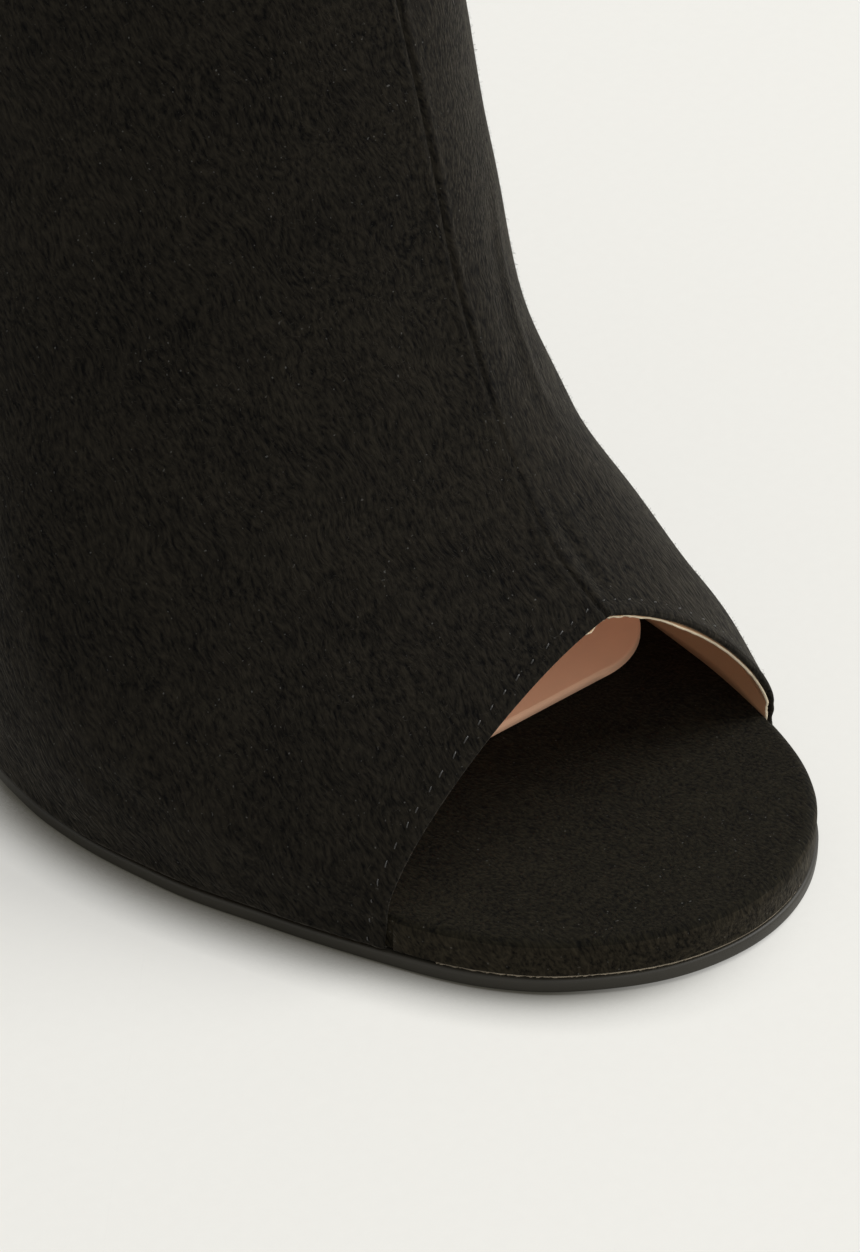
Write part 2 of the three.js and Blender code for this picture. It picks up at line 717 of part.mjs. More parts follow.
const box = new THREE.Box3().setFromObject(boot);
const group = new THREE.Group();
boot.position.set(-(box.min.x + box.max.x) / 2, -(box.min.y + box.max.y) / 2, -box.min.z);
group.add(boot);

export default group;
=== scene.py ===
"""Looks of the peep-toe ankle boot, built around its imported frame.

Sizes are in millimetres up to the last step, which writes metres in the frame:
X to the foot's inner side, Y from the toe to the heel, Z up.
"""

import math

import bmesh
import bpy
import numpy as np
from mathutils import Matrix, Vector


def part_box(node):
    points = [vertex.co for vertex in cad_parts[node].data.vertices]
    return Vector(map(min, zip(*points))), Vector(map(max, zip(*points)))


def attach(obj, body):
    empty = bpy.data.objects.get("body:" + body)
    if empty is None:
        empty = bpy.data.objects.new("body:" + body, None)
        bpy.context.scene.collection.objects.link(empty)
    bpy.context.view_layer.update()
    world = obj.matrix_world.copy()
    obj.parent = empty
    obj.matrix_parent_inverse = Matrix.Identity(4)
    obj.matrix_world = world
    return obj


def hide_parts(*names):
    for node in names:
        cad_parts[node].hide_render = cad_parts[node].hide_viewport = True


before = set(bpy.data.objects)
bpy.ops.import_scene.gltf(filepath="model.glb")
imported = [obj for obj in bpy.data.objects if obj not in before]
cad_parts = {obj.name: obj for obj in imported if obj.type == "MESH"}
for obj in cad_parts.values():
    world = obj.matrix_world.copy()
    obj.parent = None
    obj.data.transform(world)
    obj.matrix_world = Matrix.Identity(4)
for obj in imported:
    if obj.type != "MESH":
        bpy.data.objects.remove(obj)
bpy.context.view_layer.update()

# The boot's own sizes, the same as in the part's source
LENGTH = 207.0
BALL_WIDTH = 84.0
HEEL_HEIGHT = 104.0
COLLAR_FRONT = 184.0
COLLAR_BACK = 179.0
TOE_SPRING = 0.4
SPRING_LENGTH = 34.0
PEEP_BACK = 29.0
PEEP_SKEW = 1.5
OUTSOLE = 2.0
INSOLE = 4.8
SOCK = 1.2
TIP_HEIGHT = 7.0
CLEARANCE = 0.3
UPPER_PROUD = 0.4
FOOTBED_INSET = 0.3
BREAST_BACK = 157.0
SOCK_FRONT_BACK = 48.6
SOCK_CORNER = 13.0
SKEW_SECTIONS = 2.5
SEAM_SECTION = 10
NEARLY_UPRIGHT = 0.9999
ROWS_PER_SECTION = 3
EASING_PASSES = 10
EASING_SECTIONS = 3
EASING_COLUMNS = 7
ARC_STEPS = 11


def table(columns, *rows):
    return {name: np.array([row[i] for row in rows], float) for i, name in enumerate(columns.split())}


ARCH = table(
    "back rise",
    (0, 0), (0.386, 0), (0.435, 0.016), (0.483, 0.061), (0.541, 0.158), (0.604, 0.306), (0.667, 0.473),
    (0.729, 0.641), (0.792, 0.789), (0.855, 0.897), (0.918, 0.962), (1, 1),
)
PLAN = table(
    "back outer inner",
    (0, 0.024, 0.024),
    (0.0097, -0.11, 0.15),
    (0.029, -0.199, 0.238),
    (0.058, -0.285, 0.317),
    (0.0966, -0.351, 0.376),
    (0.1449, -0.402, 0.418),
    (0.2174, -0.464, 0.457),
    (0.2899, -0.514, 0.476),
    (0.3671, -0.535, 0.471),
    (0.4348, -0.531, 0.443),
    (0.4831, -0.494, 0.41),
    (0.5556, -0.398, 0.367),
    (0.6522, -0.271, 0.371),
    (0.7488, -0.208, 0.424),
    (0.8454, -0.193, 0.476),
    (0.9179, -0.139, 0.439),
    (0.9662, -0.043, 0.343),
    (0.9903, 0.043, 0.257),
    (1, 0.149, 0.149),
)
PEEP = PEEP_BACK / LENGTH
SECTIONS = table(
    "foot climb tuck crest top lean outer inner hip outer_full inner_full tail",
    (PEEP, 0, 0, PEEP, 0.19, 0.063, -0.392, 0.415, 0.8, 1.42, 1.3, 2),
    (0.217, 0, 0, 0.181, 0.221, 0.054, -0.467, 0.474, 0.78, 1.45, 1.43, 2),
    (0.3, 0, 0, 0.222, 0.266, 0.067, -0.521, 0.486, 0.74, 1.45, 1.43, 2),
    (0.386, 0, 0, 0.256, 0.326, 0.076, -0.551, 0.486, 0.7, 1.48, 1.36, 2),
    (0.473, 0, 0, 0.285, 0.391, 0.086, -0.536, 0.463, 0.64, 1.5, 1.4, 2.1),
    (0.57, 0, 0, 0.314, 0.473, 0.099, -0.458, 0.467, 0.59, 1.55, 1.54, 2.25),
    (0.676, 0, 0, 0.344, 0.554, 0.113, -0.375, 0.488, 0.55, 1.6, 1.7, 2.5),
    (0.783, 0, 0, 0.373, 0.636, 0.126, -0.313, 0.513, 0.53, 1.7, 1.78, 2.75),
    (0.894, 0, 0, 0.398, 0.709, 0.138, -0.274, 0.519, 0.52, 1.8, 1.82, 3.1),
    (0.966, 0, 0, 0.412, 0.754, 0.144, -0.26, 0.517, 0.525, 1.85, 1.8, 3.05),
    (1, 0, 0, 0.42, 0.788, 0.148, -0.252, 0.515, 0.53, 1.88, 1.85, 2.9),
    (1, 0.2, -0.004, 0.429, 0.829, 0.151, -0.245, 0.512, 0.525, 1.92, 1.9, 2.7),
    (1, 0.45, 0.011, 0.438, 0.878, 0.155, -0.242, 0.51, 0.515, 1.96, 1.95, 2.5),
    (1, 0.72, 0.037, 0.446, 0.935, 0.16, -0.249, 0.517, 0.505, 2, 2, 2.35),
    (1, 1, 0.049, 0.451, 1, 0.163, -0.262, 0.53, 0.5, 2, 2, 2.2),
)
HEEL_STEM = table(
    "down rear depth width",
    (0, 1, 1, 1), (0.05, 0.999, 0.87, 0.93), (0.11, 0.994, 0.75, 0.81), (0.2, 0.981, 0.585, 0.62),
    (0.32, 0.96, 0.435, 0.43), (0.5, 0.935, 0.325, 0.3), (0.75, 0.914, 0.24, 0.215),
    (1, 0.905, 0.205, 0.185),
)

# Looks, lengths in millimetres
CLOTH = 0.84  # the folded edge of the outer cloth
RAW_EDGE = 0.36  # the lining's cut edge in the opening
LINING_GAP = 0.04  # between the cloth's inner side and the lining
FOLD_STEPS = 7  # round a folded edge
FOLD_DEPTH = 3.0  # how far a folded edge goes back inside
FEATHER_ROUND = 1.1  # the upper's turn under its lower edge
FEATHER_TUCK = 0.7  # how much of that turn the cloth moves inwards
UNEVENNESS = 0.16
SEAM_WIDTH = 0.26
SEAM_LIP_PLACE, SEAM_LIP_WIDTH, SEAM_LIP = 0.95, 0.55, 0.4  # the cloth raised beside the seam
EDGE_SWELL, EDGE_SWELL_PLACE, EDGE_SWELL_WIDTH = 0.1, 1.0, 0.6
STITCH_PITCH = 2.6
STITCH_LENGTH = 1.4
STITCH_FROM_EDGE = 2.2
STITCH_DIP, STITCH_DIP_WIDTH = 0.16, 0.35
STITCH_START = 1.5
STITCH_RINGS, STITCH_SIDES = 9, 8
STITCH_ARCH, STITCH_SUNK, STITCH_FAR_SUNK = 0.3, 0.2, 0.1
THREAD = 0.22
RIDGE_REACH = 1.1  # how far the ridge is rounded, in columns of the source's arc
RIDGE_PASSES = 50
FIBRES = 45000
FIBRE_ROOT = 0.03  # how far a fibre starts under the cloth
FOOTBED_SOFT_INSIDE = 0.3  # how much of its edge's rounding the footbed keeps inside the boot
FOOTBED_EDGE_LOW, FOOTBED_EDGE_HIGH = 0.35, 1.7
OUTSOLE_EDGE_LOW, OUTSOLE_EDGE_HIGH = 0.5, 0.45
SOCK_EDGE_LOW, SOCK_EDGE_HIGH = 0.05, 0.3
WRAP_RINGS = 11  # rings of the footbed's rim that belong to its wrapped side
FOOTBED_GAP, SOCK_GAP = 0.06, 0.15  # to the lining's inner side
TOE_GLINT_BACK = 0.2  # how far the pale toe line, a painted glint, lies behind the footbed's edge
HEEL_CROWDING = 0.6  # how far the heel's levels gather under the seat


# Shape
def through(xs, ys):
    """A smooth curve through a table's column, flat where the column is flat."""
    chords = np.diff(ys) / np.diff(xs)
    slopes = np.empty_like(ys)
    slopes[0], slopes[-1] = chords[0], chords[-1]
    a, b = chords[:-1], chords[1:]
    flat = a * b <= 0
    total = np.where(flat, 1, a + b)
    slopes[1:-1] = np.where(flat, 0, 2 * a * b / total)

    def curve(x):
        x = np.asarray(x, float)
        i = np.clip(np.searchsorted(xs, x, side="right") - 1, 0, len(xs) - 2)
        span = xs[i + 1] - xs[i]
        t = np.clip((x - xs[i]) / span, 0, 1)
        t2, t3 = t * t, t * t * t
        y = ys[i] * (2 * t3 - 3 * t2 + 1) + ys[i + 1] * (3 * t2 - 2 * t3)
        y = y + span * (slopes[i] * (t3 - 2 * t2 + t) + slopes[i + 1] * (t3 - t2))
        y = y + np.where(x < xs[0], slopes[0] * (x - xs[0]), 0)
        return y + np.where(x > xs[-1], slopes[-1] * (x - xs[-1]), 0)

    return curve


def smooth(t):
    t = np.clip(t, 0, 1)
    return t * t * (3 - 2 * t)


arch_rise = through(ARCH["back"], ARCH["rise"])


def bed_height(back):
    back = np.asarray(back, float)
    spring = np.where(back < SPRING_LENGTH, TOE_SPRING * (1 - back / SPRING_LENGTH) ** 2, 0)
    return OUTSOLE + spring + (HEEL_HEIGHT - OUTSOLE) * arch_rise(back / LENGTH)


def layer(back, thickness):
    slope = bed_height(back + 0.5) - bed_height(back - 0.5)
    return bed_height(back) + thickness * np.hypot(1, slope)


def turn_of(share):
    return np.arccos(1 - 2 * share)


PLAN_TURN = turn_of(PLAN["back"])
plan_edge = {side: through(PLAN_TURN, PLAN[side]) for side in ("outer", "inner")}


def outline_point(side, turn, inset):
    turn = np.asarray(turn, float)

    def at(t):
        return np.stack([BALL_WIDTH * plan_edge[side](t), LENGTH * (1 - np.cos(t)) / 2], -1)

    step = 0.004
    hand = 1 if side == "outer" else -1
    tangent = at(np.minimum(turn + step, math.pi)) - at(np.maximum(turn - step, 0))
    tangent /= np.linalg.norm(tangent, axis=-1, keepdims=True)
    tangent = np.where((turn < step)[..., None], [-hand, 0], tangent)
    tangent = np.where((turn > math.pi - step)[..., None], [hand, 0], tangent)
    inwards = np.stack([tangent[..., 1], -tangent[..., 0]], -1)
    return at(turn) + hand * inset * inwards


class Outline:
    """The sole's outline moved inwards, as a function of the distance from the toe tip."""

    made = {}

    def __init__(self, inset):
        turns = np.linspace(0, math.pi, 721)
        self.sides = {}
        for side in ("outer", "inner"):
            points = outline_point(side, turns, inset)
            self.sides[side] = (np.maximum.accumulate(points[:, 1]), points[:, 0])
        self.start = self.sides["outer"][0][0]
        self.end = self.sides["outer"][0][-1]

    def edges(self, back):
        return {side: np.interp(back, ys, xs) for side, (ys, xs) in self.sides.items()}


def outline(inset):
    key = round(inset, 4)
    if key not in Outline.made:
        Outline.made[key] = Outline(inset)
    return Outline.made[key]


section = {}
INDEX = np.arange(len(SECTIONS["foot"]), dtype=float)
for column, values in SECTIONS.items():
    section[column] = through(INDEX, values)
section["turn"] = through(INDEX, turn_of(SECTIONS["foot"]))


def foot_turn(side, index):
    turn = section["turn"](index)
    if side == "outer":
        return turn
    fade = np.clip(1 - index / SKEW_SECTIONS, 0, 1) ** 2
    back = LENGTH * (1 - np.cos(turn)) / 2 - PEEP_SKEW * fade
    return turn_of(back / LENGTH)


def plain_grid(index, share):
    """Points on the upper's outside. index: sections from the opening to the collar; share: -1 at the
    outer foot, 0 on the ridge, 1 at the inner foot."""
    at = {name: curve(index) for name, curve in section.items()}
    crest = np.stack([BALL_WIDTH * at["lean"], LENGTH * at["crest"], COLLAR_FRONT * at["top"]], -1)
    on_seam = index >= SEAM_SECTION
    feet = {}
    for side in ("outer", "inner"):
        turn = np.where(on_seam, math.pi, foot_turn(side, index))
        p = outline_point(side, turn, -UPPER_PROUD)
        z = layer(p[:, 1], CLEARANCE)
        y = np.where(on_seam, p[:, 1] - LENGTH * at["tuck"], p[:, 1])
        z = np.where(on_seam, z + (COLLAR_BACK - z) * at["climb"], z)
        feet[side] = np.stack([p[:, 0], y, z], -1)
    middle = (feet["outer"][:, 0] + feet["inner"][:, 0]) / 2
    hip_x = crest[:, 0] + (middle - crest[:, 0]) * at["hip"]
    out = np.empty((len(index), len(share), 3))
    for side, sign, chosen in (("outer", -1, share < 0), ("inner", 1, share >= 0)):
        s = np.abs(share[chosen])[None, :]
        foot = feet[side]
        at_foot = np.abs(foot[:, 0] - middle)[:, None]
        widest = np.abs(BALL_WIDTH * at[side] - hip_x)[:, None]
        hip, full, tail = at["hip"][:, None], at[side + "_full"][:, None], at["tail"][:, None]
        high = np.clip(s, 0, 0.5) * math.pi
        along_high = hip * (1 - np.cos(high) ** (2 / full))
        out_high = widest * np.sin(high) ** (2 / full)
        down = np.clip(s - 0.5, 0, 0.5) * 2
        close = np.arccos(np.clip(at_foot / widest, 0, NEARLY_UPRIGHT) ** (tail / 2))
        flare = np.maximum(0, at_foot - widest * NEARLY_UPRIGHT) * down ** 2
        along_low = hip + (1 - hip) * (np.sin(close * down) / np.sin(close)) ** (2 / tail)
        out_low = widest * np.cos(close * down) ** (2 / tail) + flare
        along = np.where(s <= 0.5, along_high, along_low)
        away = np.where(s <= 0.5, out_high, out_low)
        out[:, chosen, 0] = crest[:, 0:1] + (middle - crest[:, 0])[:, None] * along + sign * away
        out[:, chosen, 1] = crest[:, 1:2] + (foot[:, 1] - crest[:, 1])[:, None] * along
        out[:, chosen, 2] = crest[:, 2:3] + (foot[:, 2] - crest[:, 2])[:, None] * along
    return out


def easing():
    """How the sections ease into each other round the corner of sole, heel and back seam."""
    last_row = (len(INDEX) - 1) * ROWS_PER_SECTION
    columns = np.arange(4 * ARC_STEPS + 1)
    rows = np.arange(last_row + 1)
    plain = plain_grid(rows / ROWS_PER_SECTION, columns / (2 * ARC_STEPS) - 1)
    seam_row = SEAM_SECTION * ROWS_PER_SECTION
    near = np.maximum(0, 1 - (np.abs(rows - seam_row) / (EASING_SECTIONS * ROWS_PER_SECTION)) ** 2)
    from_foot = np.minimum(columns, columns[-1] - columns) / EASING_COLUMNS
    free = np.where(rows[:, None] > seam_row, 1.0, smooth(from_foot)[None, :])
    pull = (0.5 * near[:, None] * free)[1:-1, :, None]
    eased = plain.copy()
    for _ in range(EASING_PASSES):
        mean = (eased[:-2] + eased[2:]) / 2
        eased[1:-1] = eased[1:-1] + (mean - eased[1:-1]) * pull
    return eased - plain


def between(values, place, axis):
    """Smooth values between the rows or columns of a grid."""
    values = np.moveaxis(values, axis, 0)
    place = np.clip(place, 0, len(values) - 1)
    i = np.minimum(place.astype(int), len(values) - 2)
    t = (place - i).reshape(-1, *([1] * (values.ndim - 1)))
    p0, p1, p2, p3 = (values[np.clip(i + k, 0, len(values) - 1)] for k in (-1, 0, 1, 2))
    made = p1 + 0.5 * t * (p2 - p0 + t * (2 * p0 - 5 * p1 + 4 * p2 - p3 + t * (3 * (p1 - p2) + p3 - p0)))
    return np.moveaxis(made, 0, axis)


EASING = easing()


def upper_grid(index, share):
    shift = between(between(EASING, index * ROWS_PER_SECTION, 0), (share + 1) * 2 * ARC_STEPS, 1)
    return plain_grid(index, share) + shift


def soft_ridge(grid, share):
    """Rounds the cloth across the front ridge."""
    pull = 0.5 * np.exp(-((share * ARC_STEPS / RIDGE_REACH) ** 2))[1:-1, None]
    made = grid.copy()
    for _ in range(RIDGE_PASSES):
        mean = (made[:, :-2] + made[:, 2:]) / 2
        made[:, 1:-1] = made[:, 1:-1] + (mean - made[:, 1:-1]) * pull
    return made


def grid_normals(grid):
    """Outward normals of the upper's grid."""
    down = np.gradient(grid, axis=0)
    along = np.gradient(grid, axis=1)
    normal = np.cross(along, down)
    return normal / np.maximum(np.linalg.norm(normal, axis=-1, keepdims=True), 1e-9)


# Meshes
CAD_ROWS, CAD_COLUMNS = (len(INDEX) - 1) * ROWS_PER_SECTION + 1, 4 * ARC_STEPS + 1
cad_grid = upper_grid(np.linspace(0, INDEX[-1], CAD_ROWS), np.linspace(-1, 1, CAD_COLUMNS))
SHIFT_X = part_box("upper")[0].x * 1000 - cad_grid[..., 0].min()
SHIFT_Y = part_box("outsole")[0].y * 1000
SAME_PLACE = 1e-7  # metres


def to_frame(points):
    return (np.asarray(points, float).reshape(-1, 3) + [SHIFT_X, SHIFT_Y, 0]) / 1000


def piece(name, points, faces, materials, face_material=None, replaces=()):
    mesh = bpy.data.meshes.new(name)
    mesh.from_pydata(to_frame(points).tolist(), [], faces)
    for material in materials:
        mesh.materials.append(material)
    if face_material is not None:
        mesh.polygons.foreach_set("material_index", np.asarray(face_material, np.int32))
    mesh.polygons.foreach_set("use_smooth", np.ones(len(mesh.polygons), bool))
    mesh.validate()
    shape = bmesh.new()
    shape.from_mesh(mesh)
    bmesh.ops.remove_doubles(shape, verts=shape.verts, dist=SAME_PLACE)
    bmesh.ops.dissolve_degenerate(shape, edges=shape.edges, dist=SAME_PLACE)
    shape.to_mesh(mesh)
    shape.free()
    mesh.update()
    obj = bpy.data.objects.new(name, mesh)
    bpy.context.scene.collection.objects.link(obj)
    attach(obj, "root")
    if replaces:
        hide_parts(*replaces)
    return obj


def grid_faces(rows, columns, closed=False, flip=False, start=0):
    faces = []
    last = columns if closed else columns - 1
    for j in range(rows - 1):
        for i in range(last):
            n = (i + 1) % columns
            near, far = start + j * columns, start + (j + 1) * columns
            quad = [near + i, near + n, far + n, far + i]
            faces.append(quad[::-1] if flip else quad)
    return faces


# Materials
def new_material(name):
    material = bpy.data.materials.new(name)
    material.use_nodes = True
    nodes, links = material.node_tree.nodes, material.node_tree.links
    return material, nodes, links, nodes["Principled BSDF"]


def add(nodes, kind, **values):
    node = nodes.new(kind)
    for key, value in values.items():
        if key in node.inputs:
            node.inputs[key].default_value = value
        else:
            setattr(node, key, value)
    return node


def ramp(nodes, links, source, stops):
    node = nodes.new("ShaderNodeValToRGB")
    while len(node.color_ramp.elements) < len(stops):
        node.color_ramp.elements.new(0.5)
    for element, (place, colour) in zip(node.color_ramp.elements, stops):
        element.position = place
        element.color = (*colour, 1) if len(colour) == 3 else colour
    links.new(source, node.inputs["Fac"])
    return node.outputs["Color"]


def maths(nodes, links, operation, first, second, third=None):
    node = nodes.new("ShaderNodeMath")
    node.operation = operation
    for socket, value in zip(node.inputs, (first, second, third)):
        if value is None:
            continue
        if isinstance(value, (int, float)):
            socket.default_value = value
        else:
            links.new(value, socket)
    return node.outputs[0]


NAP = 2200.0  # strokes of the nap to a metre
NAP_DEPTH = 0.00018
TUFT = 3.2  # strokes to a tuft
STROKE_SHARE, PATCH_SHARE, TUFT_SHARE = 0.68, 0.19, 0.13  # of the cloth's tone
TONE_FROM, TONE_TO = 0.35, 0.65
SWIRL, SWIRL_REACH = 85.0, 0.0045
LAY_TILT, LAY_STRETCH = -0.75, 3.0
DUST, DUST_FROM, DUST_TO = 2400.0, 0.82, 0.88
SPECKS = 0.05  # brightness of the dust
SHEEN_TINT = (0.9, 0.82, 0.68, 1)


def suede(name, dark, light, patch=70.0, sheen=0.1):
    """Brushed cloth: short nap in strokes that swirl a little, soft patches and a few specks of dust."""
    material, nodes, links, shader = new_material(name)
    place = nodes.new("ShaderNodeTexCoord").outputs["Object"]
    swirl = add(nodes, "ShaderNodeTexNoise", Scale=SWIRL, Detail=2.0, Roughness=0.5)
    links.new(place, swirl.inputs["Vector"])
    moved = nodes.new("ShaderNodeVectorMath")
    moved.operation = "MULTIPLY_ADD"
    links.new(swirl.outputs["Color"], moved.inputs[0])
    moved.inputs[1].default_value = (SWIRL_REACH, SWIRL_REACH, SWIRL_REACH)
    links.new(place, moved.inputs[2])
    lay = nodes.new("ShaderNodeMapping")
    lay.vector_type = "TEXTURE"
    lay.inputs["Rotation"].default_value = (LAY_TILT, 0.0, 0.0)
    lay.inputs["Scale"].default_value = (1.0, 1.0, LAY_STRETCH)
    links.new(moved.outputs[0], lay.inputs["Vector"])
    strokes = add(nodes, "ShaderNodeTexNoise", Scale=NAP, Detail=2.0, Roughness=0.6)
    links.new(lay.outputs["Vector"], strokes.inputs["Vector"])
    tufts = add(nodes, "ShaderNodeTexNoise", Scale=NAP / TUFT, Detail=2.0, Roughness=0.55)
    links.new(lay.outputs["Vector"], tufts.inputs["Vector"])
    patches = add(nodes, "ShaderNodeTexNoise", Scale=patch, Detail=5.0, Roughness=0.6, Distortion=0.5)
    links.new(place, patches.inputs["Vector"])
    tone = maths(nodes, links, "MULTIPLY", patches.outputs["Fac"], PATCH_SHARE)
    tone = maths(nodes, links, "MULTIPLY_ADD", strokes.outputs["Fac"], STROKE_SHARE, tone)
    tone = maths(nodes, links, "MULTIPLY_ADD", tufts.outputs["Fac"], TUFT_SHARE, tone)
    colour = ramp(nodes, links, tone, [(TONE_FROM, dark), (TONE_TO, light)])
    dust = add(nodes, "ShaderNodeTexNoise", Scale=DUST, Detail=0.0)
    links.new(place, dust.inputs["Vector"])
    speck = (SPECKS, SPECKS, SPECKS * 0.95)
    fleck = ramp(nodes, links, dust.outputs["Fac"], [(DUST_FROM, (0, 0, 0)), (DUST_TO, speck)])
    both = nodes.new("ShaderNodeVectorMath")
    both.operation = "ADD"
    links.new(colour, both.inputs[0])
    links.new(fleck, both.inputs[1])
    links.new(both.outputs[0], shader.inputs["Base Color"])
    shader.inputs["Roughness"].default_value = 0.9
    shader.inputs["Specular IOR Level"].default_value = 0.12
    soft = maths(nodes, links, "MULTIPLY_ADD", tone, 6.0 * sheen, -2.0 * sheen)
    links.new(soft, shader.inputs["Sheen Weight"])
    shader.inputs["Sheen Roughness"].default_value = 0.35
    shader.inputs["Sheen Tint"].default_value = SHEEN_TINT
    height = maths(nodes, links, "MULTIPLY_ADD", tufts.outputs["Fac"], 0.5, strokes.outputs["Fac"])
    bump = add(nodes, "ShaderNodeBump", Strength=0.9, Distance=NAP_DEPTH)
    links.new(height, bump.inputs["Height"])
    links.new(bump.outputs["Normal"], shader.inputs["Normal"])
    return material


def plain(name, colour, roughness, specular, grain=900.0, depth=0.00004, spread=0.12, painted_glow=0.0):
    """A smooth or fine-grained material with a slow change of tone. Its last argument is painted light:
    an emission in the material's own colour, for a part that is no lamp.
    """
    material, nodes, links, shader = new_material(name)
    place = nodes.new("ShaderNodeTexCoord").outputs["Object"]
    noise = add(nodes, "ShaderNodeTexNoise", Scale=grain, Detail=4.0, Roughness=0.6)
    links.new(place, noise.inputs["Vector"])
    slow = add(nodes, "ShaderNodeTexNoise", Scale=60.0, Detail=3.0, Roughness=0.5)
    links.new(place, slow.inputs["Vector"])
    dark = tuple(c * (1 - spread) for c in colour)
    light = tuple(min(1, c * (1 + spread)) for c in colour)
    tone = ramp(nodes, links, slow.outputs["Fac"], [(0.3, dark), (0.7, light)])
    links.new(tone, shader.inputs["Base Color"])
    shader.inputs["Roughness"].default_value = roughness
    shader.inputs["Specular IOR Level"].default_value = specular
    # any glow here is painted light, an emission in the material's own colour
    shader.inputs["Emission Color"].default_value = (*colour, 1)
    shader.inputs["Emission Strength"].default_value = painted_glow
    bump = add(nodes, "ShaderNodeBump", Strength=0.5, Distance=depth)
    links.new(noise.outputs["Fac"], bump.inputs["Height"])
    links.new(bump.outputs["Normal"], shader.inputs["Normal"])
    return material


CLOTH_DARK, CLOTH_LIGHT = (0.0003, 0.0002, 0.0001), (0.0175, 0.0146, 0.0098)
FOOTBED_DARK, FOOTBED_LIGHT = (0.0008, 0.0006, 0.0001), (0.0138, 0.0116, 0.006)
# the footbed's wrapped side is the same suede as its top, painted lighter: a painted sheen where the
# light grazes it
WRAP_SHEEN_PAINTED_DARK, WRAP_SHEEN_PAINTED_LIGHT = (0.0016, 0.0012, 0.0003), (0.0265, 0.0215, 0.0128)
upper_suede = suede("upper_suede", CLOTH_DARK, CLOTH_LIGHT)
footbed_suede = suede("footbed_suede", FOOTBED_DARK, FOOTBED_LIGHT, patch=110.0, sheen=0.06)
footbed_wrap_painted_sheen = suede("footbed_wrap_painted_sheen", WRAP_SHEEN_PAINTED_DARK, WRAP_SHEEN_PAINTED_LIGHT, patch=110.0, sheen=0.08)
heel_suede = suede("heel_suede", CLOTH_DARK, CLOTH_LIGHT)
fibre = plain("nap_fibre", (0.016, 0.0135, 0.0095), 0.8, 0.25, spread=0.6)
# the sock's pale peach leather, with painted light: a glow for the light falling in through the opening
lining = plain("pale_lining", (0.9, 0.54, 0.35), 0.42, 0.4, painted_glow=0.085)
# the upper's lining: the sock's peach tone painted darker as painted shade on the shadowed far wall
# inside, with a faint painted glow
inner_lining_shade_and_glow = plain("inner_lining_shade_and_glow", (0.6, 0.36, 0.2), 0.6, 0.3, grain=1400.0, depth=0.0001, painted_glow=0.025)
raw_edge = plain("raw_edge", (0.78, 0.66, 0.48), 0.9, 0.2, grain=2500.0, depth=0.0002, spread=0.3)
# painted highlight: the pale line that stands for the glint of the outsole's top edge at the toe
painted_toe_glint = plain("toe_line_painted_glint", (0.32, 0.27, 0.2), 0.9, 0.2, grain=2500.0, depth=0.0002, spread=0.5)
rubber = plain("sole_rubber", (0.03, 0.027, 0.02), 0.5, 0.35, grain=1600.0, depth=0.00005)
top_piece = plain("top_piece", (0.012, 0.011, 0.01), 0.35, 0.5)
thread = plain("thread", (0.02, 0.019, 0.017), 0.3, 0.7, grain=6000.0, depth=0.0001)


# Upper
COLUMNS, ROWS = 116, 150


def column_shares():
    """Shares across the upper, denser at the centre seam and at the feather line."""
    steps = np.linspace(0, 1, COLUMNS)
    seam = np.array([0.0008, 0.0018, 0.003, 0.0045])
    edge = 1 - np.array([0.0008, 0.002, 0.0035, 0.0055])
    half = np.unique(np.concatenate([steps, seam, edge]))
    return np.concatenate([-half[:0:-1], half])


def row_indices():
    """Section indices down the upper's rows, denser at the opening's edge."""
    edge = np.array([0.0, 0.012, 0.03, 0.05, 0.075, 0.1])
    return np.unique(np.concatenate([edge, np.linspace(0.13, INDEX[-1], ROWS)]))


# Folds worn into the cloth. start, middle, end: section indices; from, by, to: the distance from the
# centre seam at each, to the inner side, in mm; width and height in mm, a trough where it is negative.
FOLDS = table(
    "start middle end from by to width height",
    (4.9, 3.5, 2.2, 18.6, 12.2, 12.4, 1.5, 0.42),
    (4.7, 3.4, 2.2, 14.6, 8.5, 9.0, 2.4, -0.14),
    (0.2, 0.8, 1.6, 1.9, 2.9, 2.6, 0.9, -0.26),
    (0.3, 0.9, 1.7, -2.9, -3.4, -2.6, 1.0, -0.16),
    (0.3, 1.0, 1.8, 4.6, 5.4, 4.6, 1.4, 0.18),
    (1.2, 1.8, 2.5, -18.0, -20.0, -23.0, 1.5, -0.16),
    (1.2, 1.9, 2.6, -21.0, -23.5, -26.5, 2.2, 0.14),
    (2.1, 2.7, 3.3, -67.0, -61.5, -55.0, 2.6, 0.3),
    (2.0, 2.6, 3.2, -60.0, -55.0, -49.0, 2.8, -0.24),
    (4.8, 6.2, 8.0, -22.0, -30.0, -36.0, 6.0, 0.3),
    (4.2, 5.2, 6.6, -40.0, -45.0, -44.0, 6.5, -0.32),
)
# Depth of the centre seam's groove along the sections, in mm
SEAM_GROOVE = table(
    "index depth",
    (0, 0.3), (0.8, 0.26), (1.5, 0.14), (2.4, 0.16), (3.2, 0.3), (4.5, 0.4), (13.2, 0.4), (14, 0.08),
)
SEAM_ASIDE = -0.6  # the seam lies a little to the outer side of the ridge
AHEAD_ROW = 4  # the row that gives the direction out of the opening


def unevenness(index, share, seed, rows, columns, size):
    """A soft, seeded unevenness over the upper."""
    draws = np.random.default_rng(seed).uniform(-size, size, (rows, columns))
    return between(between(draws, index / INDEX[-1] * (rows - 1), 0), (share + 1) / 2 * (columns - 1), 1)


